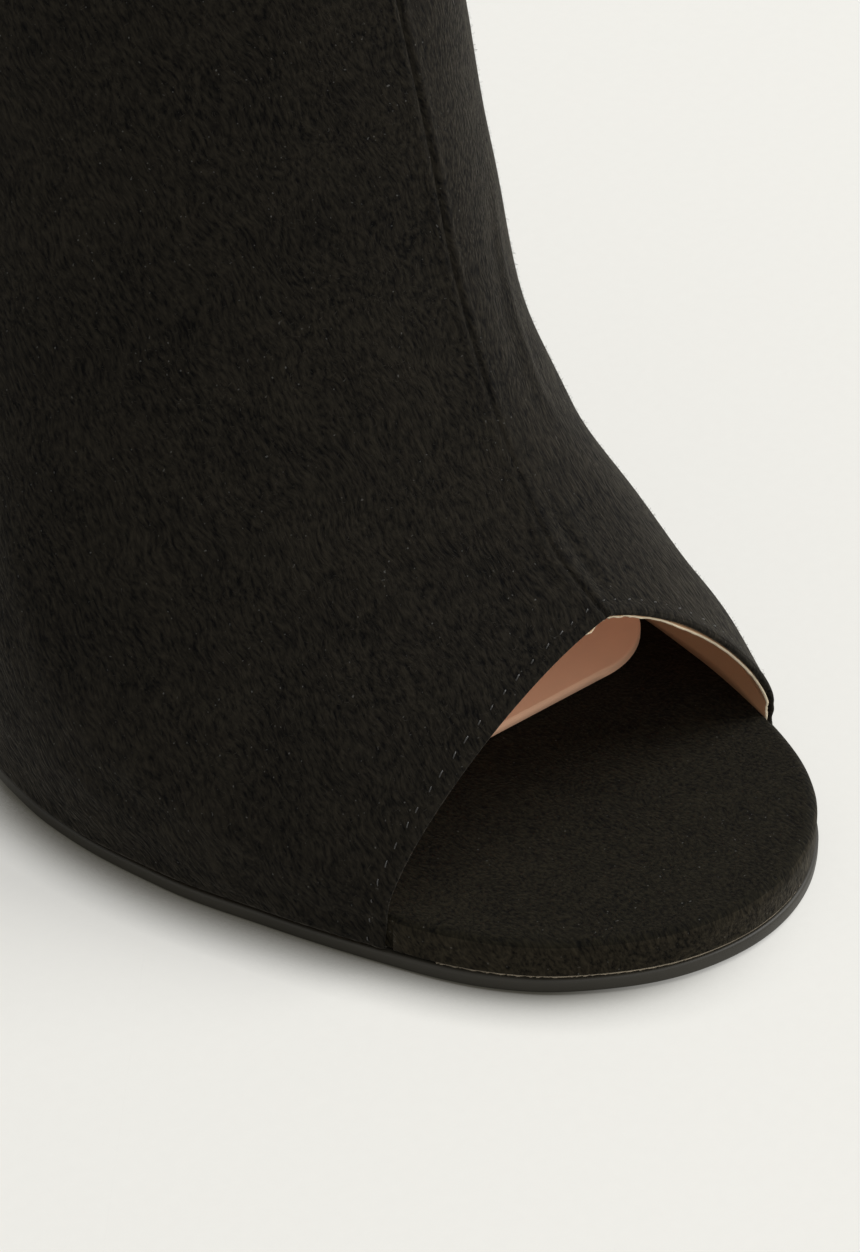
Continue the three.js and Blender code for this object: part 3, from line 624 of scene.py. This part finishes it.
def creases(grid, index, share):
    """Heights over the plain surface and the distance behind the opening."""
    across = np.cumsum(np.linalg.norm(np.diff(grid, axis=1), axis=-1), axis=1)
    arc = np.concatenate([np.zeros((len(index), 1)), across], axis=1)
    ridge = int(np.argmin(np.abs(share)))
    arc = arc - arc[:, ridge:ridge + 1]
    back = np.cumsum(np.linalg.norm(np.diff(grid, axis=0), axis=-1), axis=0)
    behind = np.concatenate([np.zeros((1, len(share))), back])
    height = unevenness(index, share, 11, 22, 26, UNEVENNESS)
    off_seam = arc - SEAM_ASIDE
    depth = np.interp(index, SEAM_GROOVE["index"], SEAM_GROOVE["depth"])[:, None]
    height = height - depth * np.exp(-((off_seam / SEAM_WIDTH) ** 2))
    off_lip = np.abs(off_seam) - SEAM_LIP_PLACE
    height = height + SEAM_LIP * depth * np.exp(-((off_lip / SEAM_LIP_WIDTH) ** 2))
    for k in range(len(FOLDS["start"])):
        fold = {name: values[k] for name, values in FOLDS.items()}
        t = (index - fold["start"]) / (fold["end"] - fold["start"])
        m = (fold["middle"] - fold["start"]) / (fold["end"] - fold["start"])
        first = fold["from"] * (t - m) * (t - 1) / m
        path = first + fold["by"] * t * (t - 1) / (m * (m - 1)) + fold["to"] * t * (t - m) / (1 - m)
        t = np.clip(t, 0, 1)
        strength = fold["height"] * smooth(4 * t * (1 - t))
        height = height + strength[:, None] * np.exp(-(((arc - path[:, None]) / fold["width"]) ** 2))
    # the folded edge of the opening stands a little proud in front of its stitches
    height = height + EDGE_SWELL * np.exp(-(((behind - EDGE_SWELL_PLACE) / EDGE_SWELL_WIDTH) ** 2))
    height = height - STITCH_DIP * np.exp(-(((behind - STITCH_FROM_EDGE) / STITCH_DIP_WIDTH) ** 2))
    return height, behind


def close_back(skin, index):
    """Joins the two edges of the upper along the back seam."""
    back = index >= SEAM_SECTION
    middle = (skin[back, 0] + skin[back, -1]) / 2
    skin[back, 0] = middle
    skin[back, -1] = middle


def feather_distance(points, feet):
    """Distance from each point to the upper's lower edge."""
    flat = points.reshape(-1, 3)
    best = np.full(len(flat), 1e9)
    for foot in feet:
        best = np.minimum(best, np.linalg.norm(flat - foot, axis=1))
    return best.reshape(points.shape[:-1])


def ahead_of_edge(grid, normals):
    """The direction in the surface that points out of the opening, for each column."""
    ahead = grid[0] - grid[AHEAD_ROW]
    ahead = ahead - (ahead * normals[0]).sum(-1, keepdims=True) * normals[0]
    return ahead / np.linalg.norm(ahead, axis=-1, keepdims=True)


def build_upper():
    index, share = row_indices(), column_shares()
    grid = soft_ridge(upper_grid(index, share), share)
    normals = grid_normals(grid)
    height, behind = creases(grid, index, share)
    outside = grid + normals * height[..., None]
    # the lower edge turns under
    open_rows = index <= SEAM_SECTION
    feet = np.concatenate([grid[open_rows, 0], grid[open_rows, -1]])
    feet = np.concatenate([feet, (feet[1:] + feet[:-1]) / 2])
    near = feather_distance(grid, feet)
    turn = np.clip(1 - near / FEATHER_ROUND, 0, 1)
    tuck = FEATHER_TUCK * FEATHER_ROUND * (1 - np.sqrt(np.clip(1 - turn ** 2, 0, 1)))
    outside = outside - normals * tuck[..., None]
    close_back(outside, index)
    close_back(normals, index)
    # folded edges at the opening and at the collar
    radius = CLOTH / 2
    ahead = ahead_of_edge(grid, normals)
    base = outside[0] - ahead * radius
    front = []
    for k in range(FOLD_STEPS, 0, -1):
        a = math.pi * k / FOLD_STEPS
        front.append(base + ahead * radius * math.sin(a) - normals[0] * radius * (1 - math.cos(a)))
    behind_fold = front[0] - ahead * FOLD_DEPTH
    top = []
    up = np.broadcast_to(np.array([0.0, 0.0, 1.0]), outside[-1].shape)
    rim = outside[-1] - up * radius
    for k in range(1, FOLD_STEPS + 1):
        a = math.pi * k / FOLD_STEPS
        top.append(rim + up * radius * math.sin(a) - normals[-1] * radius * (1 - math.cos(a)))
    inside_top = top[-1] - up * FOLD_DEPTH
    body = outside.copy()
    body[-1] = rim
    # rows nearer to the edge than the fold's radius make way for it
    keep = index > 0.02
    reach = 1.02
    close = np.clip((radius * reach - behind) / radius, 0, 1)[..., None]
    body = body - ahead[None] * close * radius * reach
    shell = np.stack([behind_fold, *front, base, *body[keep], *top, inside_top])
    faces = grid_faces(len(shell), len(share))
    piece("upper_cloth", shell, faces, [upper_suede], replaces=("upper",))
    return share, normals, outside, behind


share, normals, outside, behind = build_upper()


# How far the lining's cut edge stays behind the cloth's fold, in mm, across the upper
CUT_EDGE = table(
    "share short",
    (-1, 0.5), (-0.88, 0.45), (-0.75, 0.6), (-0.12, 0.6), (-0.07, 0.1), (-0.05, -0.15), (-0.03, 0.2),
    (0.06, 0.12), (1, 0.12),
)


def build_lining():
    """The inner skin, with its cut edge showing as a pale line inside the opening."""
    rows = np.concatenate([[0.0, 0.02, 0.045], np.linspace(0.08, 13.92, 90)])
    cols = column_shares()
    base = soft_ridge(upper_grid(rows, cols), cols)
    normal = grid_normals(base)
    close_back(normal, rows)
    ahead = ahead_of_edge(base, normal)
    rng = np.random.default_rng(7)
    place = np.linspace(0, 1, len(cols))
    ragged = np.zeros(len(cols))
    for pieces, size in ((26, 0.1), (80, 0.1), (230, 0.12)):
        draws = rng.uniform(-size, size, pieces + 1)
        ragged = ragged + np.interp(place * pieces, np.arange(pieces + 1), draws)
    outer_skin = base - normal * (CLOTH + LINING_GAP)
    inner_skin = base - normal * (CLOTH + LINING_GAP + RAW_EDGE)
    short = np.interp(cols, CUT_EDGE["share"], CUT_EDGE["short"])
    for skin in (outer_skin, inner_skin):
        skin[0] = skin[0] - ahead * (short - ragged)[:, None]
    middle = (outer_skin[0] + inner_skin[0]) / 2 + ahead * 0.1
    n_rows, n_cols = len(rows), len(cols)
    second = n_rows * n_cols
    points = np.concatenate([outer_skin.reshape(-1, 3), inner_skin.reshape(-1, 3), middle])
    faces = grid_faces(n_rows, n_cols) + grid_faces(n_rows, n_cols, flip=True, start=second)
    marks = [0] * len(faces)
    bead = 2 * second
    for i in range(n_cols - 1):
        faces.append([i, bead + i, bead + i + 1, i + 1])
        faces.append([bead + i, second + i, second + i + 1, bead + i + 1])
        marks += [1, 1]
    last = (n_rows - 1) * n_cols
    for i in range(n_cols - 1):
        faces.append([last + i, last + i + 1, second + last + i + 1, second + last + i])
        marks.append(0)
    return piece("upper_lining", points, faces, [inner_lining_shade_and_glow, raw_edge], marks)


build_lining()


def build_topstitch():
    """Stitches along the opening, a little way behind its folded edge, each sunk at both ends."""
    line, across = [], []
    for i in range(outside.shape[1]):
        j = int(np.searchsorted(behind[:, i], STITCH_FROM_EDGE))
        t = (STITCH_FROM_EDGE - behind[j - 1, i]) / (behind[j, i] - behind[j - 1, i])
        line.append(outside[j - 1, i] * (1 - t) + outside[j, i] * t)
        across.append(normals[j, i])
    line, across = np.array(line), np.array(across)
    run = np.concatenate([[0], np.cumsum(np.linalg.norm(np.diff(line, axis=0), axis=1))])

    def at(distance):
        p = np.array([np.interp(distance, run, line[:, k]) for k in range(3)])
        n = np.array([np.interp(distance, run, across[:, k]) for k in range(3)])
        return p, n / np.linalg.norm(n)

    rng = np.random.default_rng(3)
    points, faces = [], []
    rings, sides = STITCH_RINGS, STITCH_SIDES
    count = int((run[-1] - 2 * STITCH_START) / STITCH_PITCH)
    for k in range(count):
        start = STITCH_START + k * STITCH_PITCH + rng.uniform(-0.3, 0.3)
        long = STITCH_LENGTH * rng.uniform(0.5, 1.1)
        far = float(smooth((start - 0.5 * run[-1]) / (0.1 * run[-1])))
        sunk = rng.uniform(-0.12, 0.05) - STITCH_FAR_SUNK * far
        slant_by = rng.uniform(0.15, 0.4)
        first = len(points)
        for r in range(rings):
            t = r / (rings - 1)
            p, n = at(start + long * t)
            q, _ = at(start + long * t + 0.2)
            along = (q - p) / np.linalg.norm(q - p)
            side = np.cross(n, along)
            lift = STITCH_ARCH * math.sin(math.pi * t) - STITCH_SUNK + sunk
            size = THREAD / 2 * (0.5 + 0.5 * math.sin(math.pi * t) ** 0.6)
            centre = p + n * lift + side * (t - 0.5) * slant_by
            for corner in range(sides):
                a = 2 * math.pi * corner / sides
                points.append(centre + (side * math.cos(a) + n * math.sin(a)) * size)
        for r in range(rings - 1):
            for corner in range(sides):
                m = (corner + 1) % sides
                a, b = first + r * sides, first + (r + 1) * sides
                faces.append([a + corner, a + m, b + m, b + corner])
        faces.append([first + corner for corner in range(sides)][::-1])
        faces.append([first + (rings - 1) * sides + corner for corner in range(sides)])
    return piece("opening_topstitch", np.array(points), faces, [thread])


build_topstitch()


def build_fibres():
    """Short loose fibres that stand off the nap, each a thin tapering ribbon."""
    rng = np.random.default_rng(19)
    cells = (outside[:-1, :-1], outside[:-1, 1:], outside[1:, :-1])
    area = np.linalg.norm(np.cross(cells[1] - cells[0], cells[2] - cells[0]), axis=-1)
    area[:2] = 0
    chance = np.cumsum(area.ravel() / area.sum())
    cell = np.minimum(np.searchsorted(chance, rng.random(FIBRES)), area.size - 1)
    i, j = np.divmod(cell, area.shape[1])
    u, v = rng.random((2, FIBRES, 1))
    left = (outside[i, j] * (1 - u) + outside[i + 1, j] * u) * (1 - v)
    root = left + (outside[i, j + 1] * (1 - u) + outside[i + 1, j + 1] * u) * v
    normal = normals[i, j]
    lay = np.cross(normal, rng.normal(size=(FIBRES, 3)))
    lay /= np.linalg.norm(lay, axis=1, keepdims=True)
    side = np.cross(normal, lay)
    long = rng.uniform(0.3, 0.9, (FIBRES, 1))
    lift = rng.uniform(0.2, 0.6, (FIBRES, 1)) * long
    half = rng.uniform(0.012, 0.022, (FIBRES, 1))
    middle = root + lay * long * 0.55 + normal * lift * 0.8
    tip = root + lay * long * 0.95 + normal * lift
    root = root - normal * FIBRE_ROOT
    bottom = [root - side * half, root + side * half]
    points = np.stack([*bottom, middle + side * half * 0.8, middle - side * half * 0.8, tip], 1)
    first = 5 * np.arange(FIBRES)
    faces = []
    for n in first.tolist():
        faces.append([n, n + 1, n + 2, n + 3])
        faces.append([n + 3, n + 2, n + 4])
    return piece("nap_fibres", points, faces, [fibre])


build_fibres()


# Sole and footbed
def bed_sheet(name, backs, edges, rings, columns, material, replaces, side=None, side_rings=0):
    """A closed sheet that follows the sole. backs(inset): stations; edges(back, inset): its two sides;
    rings: (inset, height above the bed) from the bottom round the rim to the top; side: the material of
    its rim, over the lowest side_rings rings."""
    loops = []
    for inset, lift in rings:
        back = backs(inset)
        both = edges(back, inset)
        z = layer(back, lift)
        loops.append({"back": back, "outer": both["outer"], "inner": both["inner"], "z": z})
    n = len(loops[0]["back"])
    across = np.linspace(0, 1, columns + 1)
    strips = []

    def spread(loop, shares):
        x = loop["outer"][:, None] * (1 - shares) + loop["inner"][:, None] * shares
        y = np.broadcast_to(loop["back"][:, None], x.shape)
        z = np.broadcast_to(loop["z"][:, None], x.shape)
        return np.stack([x, y, z], -1)

    strips.append(spread(loops[0], across[None, :]))
    for loop in loops[1:-1]:
        strips.append(spread(loop, np.array([[1.0]])))
    strips.append(spread(loops[-1], across[None, ::-1]))
    for loop in loops[-2:0:-1]:
        strips.append(spread(loop, np.array([[0.0]])))
    whole = np.concatenate(strips, axis=1)
    ring = whole.shape[1]
    faces = grid_faces(n, ring, closed=True)
    points = whole.reshape(-1, 3)
    wide = loops[0]["inner"] - loops[0]["outer"]
    if wide[0] > 0.01:
        faces.append(list(range(ring))[::-1])
    if wide[-1] > 0.01:
        faces.append(list(range((n - 1) * ring, n * ring)))
    if side is None:
        return piece(name, points, faces, [material], replaces=replaces)
    at = np.tile(np.arange(ring), n - 1)
    on_side = (at >= columns) & (at < columns + side_rings) | (at >= ring - side_rings)
    marks = np.concatenate([on_side, np.zeros(len(faces) - len(at), bool)])
    return piece(name, points, faces, [material, side], marks, replaces)


def rounded_stations(start, end, total, dense_start):
    """Distances from the toe tip, denser towards the round end of a sheet."""
    t = np.linspace(0, 1, total)
    t = 1 - np.cos(math.pi * t / 2) if dense_start else np.sin(math.pi * t / 2)
    return start + (end - start) * t


def soft_rim(bottom, top, low, high, steps=5):
    """Rings of a rim whose lower and upper edges are rounded by the radii low and high."""
    rings = []
    for k in range(steps + 1):
        a = math.pi / 2 * k / steps
        rings.append((low * (1 - math.sin(a)), bottom + low * (1 - math.cos(a))))
    for k in range(steps + 1):
        a = math.pi / 2 * k / steps
        rings.append((high * (1 - math.cos(a)), top - high * (1 - math.sin(a))))
    return rings


def build_outsole():
    return bed_sheet(
        "outsole_sheet",
        lambda inset: rounded_stations(outline(inset).start, BREAST_BACK, 150, True),
        lambda back, inset: outline(inset).edges(back),
        soft_rim(-OUTSOLE, 0, OUTSOLE_EDGE_LOW, OUTSOLE_EDGE_HIGH),
        24, rubber, ("outsole",),
    )


def build_footbed():
    front = FOOTBED_INSET
    rear = CLOTH + RAW_EDGE + FOOTBED_GAP - UPPER_PROUD
    step = {"outer": PEEP_BACK - 2 * CLEARANCE, "inner": PEEP_BACK - PEEP_SKEW - 2 * CLEARANCE}

    def backs(inset):
        a = rounded_stations(outline(front + inset).start, step["inner"] - CLEARANCE, 70, True)
        b = np.array([step["inner"], step["outer"] - CLEARANCE, step["outer"]])
        c = np.linspace(step["outer"] + 0.8, BREAST_BACK, 90)
        d = rounded_stations(BREAST_BACK + 0.5, outline(rear + inset).end, 40, False)
        return np.concatenate([a, b, c, d])

    def edges(back, inset):
        made = {}
        for side in ("outer", "inner"):
            ahead = back < step[side] - CLEARANCE / 2
            inside = outline(rear + inset * FOOTBED_SOFT_INSIDE).edges(back)[side]
            made[side] = np.where(ahead, outline(front + inset).edges(back)[side], inside)
        return made

    return bed_sheet(
        "footbed", backs, edges,
        soft_rim(CLEARANCE, CLEARANCE + INSOLE, FOOTBED_EDGE_LOW, FOOTBED_EDGE_HIGH, 7),
        # the wrapped side takes the suede painted lighter, a painted sheen
        40, footbed_suede, ("insole",), footbed_wrap_painted_sheen, WRAP_RINGS,
    )


def build_toe_line_painted_glint():
    """A thin pale line at the toe between the outsole and the footbed: a painted highlight for the glint
    of the outsole's top edge.
    """
    rng = np.random.default_rng(23)
    jitter = rng.uniform(-0.25, 0.12, 400)
    cut = outline(FOOTBED_INSET + TOE_GLINT_BACK)

    def edges(back, inset):
        sides = cut.edges(back)
        rough = np.interp(back * 12 % 399, np.arange(400), jitter)
        return {"outer": sides["outer"] - rough, "inner": sides["inner"] + np.roll(rough, 7)}

    return bed_sheet(
        "toe_line_painted_glint", lambda inset: rounded_stations(cut.start, PEEP_BACK - 6, 160, True), edges,
        [(0, 0.1), (0, CLEARANCE - 0.04)], 4, painted_toe_glint, (),
    )


def build_sock():
    inset0 = CLOTH + RAW_EDGE + SOCK_GAP - UPPER_PROUD
    bottom = 2 * CLEARANCE + INSOLE
    corner_end = SOCK_FRONT_BACK + SOCK_CORNER

    def backs(edge):
        a = rounded_stations(SOCK_FRONT_BACK + edge, corner_end, 18, True)
        b = np.linspace(corner_end + 0.8, BREAST_BACK, 80)
        c = rounded_stations(BREAST_BACK + 0.5, outline(inset0 + edge).end, 40, False)
        return np.concatenate([a, b, c])

    def edges(back, edge):
        sides = outline(inset0 + edge).edges(back)
        left = np.clip((corner_end - back) / (SOCK_CORNER - edge), 0, 1)
        corner = SOCK_CORNER * (1 - np.sqrt(1 - left * left))
        return {"outer": sides["outer"] + corner, "inner": sides["inner"] - corner}

    return bed_sheet(
        "sock_sheet", backs, edges, soft_rim(bottom, bottom + SOCK, SOCK_EDGE_LOW, SOCK_EDGE_HIGH, 3),
        30, lining, ("sock_lining",),
    )


build_outsole()
build_footbed()
build_toe_line_painted_glint()
build_sock()


# Heel
stem = {name: through(HEEL_STEM["down"], HEEL_STEM[name]) for name in ("rear", "depth", "width")}
SEAT = outline(0)
HEEL_FRONT = BREAST_BACK + CLEARANCE
HEEL_LEVELS = 70
SEAT_DEPTH = SEAT.end - HEEL_FRONT
SEAT_MIDDLE = float(SEAT.edges(np.array([SEAT.end]))["outer"][0])


def heel_ring(down, height, grow=0.0, steps=40):
    """The heel's outline at a share of the way down. height(back): its level; grow: mm outwards."""
    rear = SEAT.end - LENGTH * (1 - stem["rear"](down)) + grow
    depth = SEAT_DEPTH * stem["depth"](down) + 2 * grow
    width = stem["width"](down) + 2 * grow / SEAT_DEPTH
    t = np.sin(np.linspace(0, math.pi / 2, steps + 1))
    seat_back = HEEL_FRONT + SEAT_DEPTH * t
    sides = SEAT.edges(seat_back)
    y = rear - depth * (1 - t)
    z = height(seat_back)
    outer = np.stack([SEAT_MIDDLE + (sides["outer"] - SEAT_MIDDLE) * width, y, z], -1)
    inner = np.stack([SEAT_MIDDLE + (sides["inner"] - SEAT_MIDDLE) * width, y, z], -1)
    return np.concatenate([outer, inner[-2::-1]])


def ring_piece(name, rings, material, replaces):
    count = len(rings[0])
    points = np.concatenate(rings)
    faces = grid_faces(len(rings), count, closed=True)
    faces.append(list(range(count))[::-1])
    faces.append(list(range((len(rings) - 1) * count, len(rings) * count)))
    return piece(name, points, faces, [material], replaces=replaces)


def build_heel():
    bottom = TIP_HEIGHT + CLEARANCE
    rings = []
    for j in range(HEEL_LEVELS + 1):
        share_down = j / HEEL_LEVELS
        down = share_down + (1 - math.cos(share_down * math.pi / 2) - share_down) * HEEL_CROWDING
        rings.append(heel_ring(down, lambda back, d=down: bed_height(back) * (1 - d) + bottom * d))
    return ring_piece("heel_cover", rings, heel_suede, ("heel",))


def build_tip():
    levels = [(TIP_HEIGHT, 0.0), (TIP_HEIGHT - 0.15, 0.0), (0.4, 0.0), (0.15, -0.12), (0.0, -0.4)]
    rings = [heel_ring(1.0, lambda back, z=z: np.full_like(back, z), grow) for z, grow in levels]
    return ring_piece("top_piece", rings, top_piece, ("heel_tip",))


build_heel()
build_tip()


# Floor, light, camera
CONTACT_REACH = 0.009  # metres over which the floor darkens towards the sole
OPEN_FLOOR = (1, 0.992, 0.957)
SHADOW_STOPS = [
    (0.45, (0.1, 0.094, 0.076)),
    (0.65, (0.42, 0.413, 0.386)),
    (0.85, (0.8, 0.793, 0.763)),
    (1.0, OPEN_FLOOR),
]
PAPER_DARK, PAPER_LIGHT = (0.39, 0.387, 0.372), (0.4, 0.397, 0.382)
FLOOR_GLOW = 0.45
LIT_SIDE = (0.73, -0.68, 0)  # the side that the light comes from
LIT_FROM, LIT_TO = 0.045, 0.082  # metres to that side over which the contact shadow fades out
floor_mesh = bpy.data.meshes.new("floor")
floor_mesh.from_pydata([(-4, -4, 0), (4, -4, 0), (4, 4, 0), (-4, 4, 0)], [], [(0, 1, 2, 3)])
floor = bpy.data.objects.new("floor", floor_mesh)
bpy.context.scene.collection.objects.link(floor)
floor_material, nodes, links, shader = new_material("floor")
shader.inputs["Roughness"].default_value = 0.8
shader.inputs["Specular IOR Level"].default_value = 0.2
place = nodes.new("ShaderNodeTexCoord").outputs["Object"]
paint = add(nodes, "ShaderNodeTexNoise", Scale=500.0, Detail=4.0, Roughness=0.6)
links.new(place, paint.inputs["Vector"])
paper = ramp(nodes, links, paint.outputs["Fac"], [(0.3, PAPER_DARK), (0.7, PAPER_LIGHT)])
contact = add(nodes, "ShaderNodeAmbientOcclusion", Distance=CONTACT_REACH)
contact.samples = 12
shade = ramp(nodes, links, contact.outputs["AO"], SHADOW_STOPS)
# the contact shadow fades out towards the light
across = nodes.new("ShaderNodeVectorMath")
across.operation = "DOT_PRODUCT"
across.inputs[1].default_value = LIT_SIDE
links.new(place, across.inputs[0])
lit = nodes.new("ShaderNodeMapRange")
lit.interpolation_type = "SMOOTHSTEP"
lit.inputs["From Min"].default_value, lit.inputs["From Max"].default_value = LIT_FROM, LIT_TO
links.new(across.outputs["Value"], lit.inputs["Value"])
soft = add(nodes, "ShaderNodeMixRGB", Color2=(*OPEN_FLOOR, 1))
links.new(lit.outputs["Result"], soft.inputs["Fac"])
links.new(shade, soft.inputs["Color1"])
shade = soft.outputs["Color"]
shaded = nodes.new("ShaderNodeVectorMath")
shaded.operation = "MULTIPLY"
links.new(paper, shaded.inputs[0])
links.new(shade, shaded.inputs[1])
links.new(shaded.outputs[0], shader.inputs["Base Color"])
links.new(shade, shader.inputs["Emission Color"])
shader.inputs["Emission Strength"].default_value = FLOOR_GLOW
bump = add(nodes, "ShaderNodeBump", Strength=0.15, Distance=0.0003)
links.new(paint.outputs["Fac"], bump.inputs["Height"])
links.new(bump.outputs["Normal"], shader.inputs["Normal"])
floor_mesh.materials.append(floor_material)

STUDIO_COLOUR, STUDIO_STRENGTH = (1.0, 0.99, 0.97, 1), 0.45
world = bpy.data.worlds.new("studio")
bpy.context.scene.world = world
world.use_nodes = True
world.node_tree.nodes["Background"].inputs["Color"].default_value = STUDIO_COLOUR
world.node_tree.nodes["Background"].inputs["Strength"].default_value = STUDIO_STRENGTH


def area_light(name, place, target, size, power):
    light = bpy.data.lights.new(name, "AREA")
    light.shape = "DISK"
    light.size = size
    light.energy = power
    obj = bpy.data.objects.new(name, light)
    obj.location = place
    obj.rotation_mode = "QUATERNION"
    obj.rotation_quaternion = (Vector(target) - Vector(place)).to_track_quat("-Z", "Y")
    bpy.context.scene.collection.objects.link(obj)
    return obj


LIGHTS_AIM = (0, 0, 0.05)
LIGHT_SIZE = 1.6
KEY_WATTS, FILL_WATTS = 41, 9
area_light("key", (1.5, -0.55, 1.6), LIGHTS_AIM, LIGHT_SIZE, KEY_WATTS)
area_light("fill", (-0.3, -1.8, 1.5), LIGHTS_AIM, LIGHT_SIZE, FILL_WATTS)

ELEVATION = math.radians(33)
AROUND = math.radians(43)
DISTANCE = 0.7
TARGET_X, TARGET_BACK = 23.6, 81.8
LENS_PIXELS, FRAME_HEIGHT = 5110, 1252  # pixels of the picture
SENSOR = 36.0
target = Vector(((TARGET_X + SHIFT_X) / 1000, (TARGET_BACK + SHIFT_Y) / 1000, 0))
level = math.cos(ELEVATION)
back = Vector((-level * math.sin(AROUND), -level * math.cos(AROUND), math.sin(ELEVATION)))
camera_data = bpy.data.cameras.new("camera")
camera_data.sensor_fit = "AUTO"
camera_data.sensor_width = SENSOR
camera_data.lens = LENS_PIXELS * SENSOR / FRAME_HEIGHT
camera_data.clip_start = 0.01
camera_data.clip_end = 50
camera = bpy.data.objects.new("camera", camera_data)
camera.location = target + back * DISTANCE
camera.rotation_mode = "QUATERNION"
camera.rotation_quaternion = (-back).to_track_quat("-Z", "Y")
bpy.context.scene.collection.objects.link(camera)
bpy.context.scene.camera = camera

bpy.context.scene.view_settings.view_transform = "Standard"
bpy.context.scene.view_settings.look = "None"
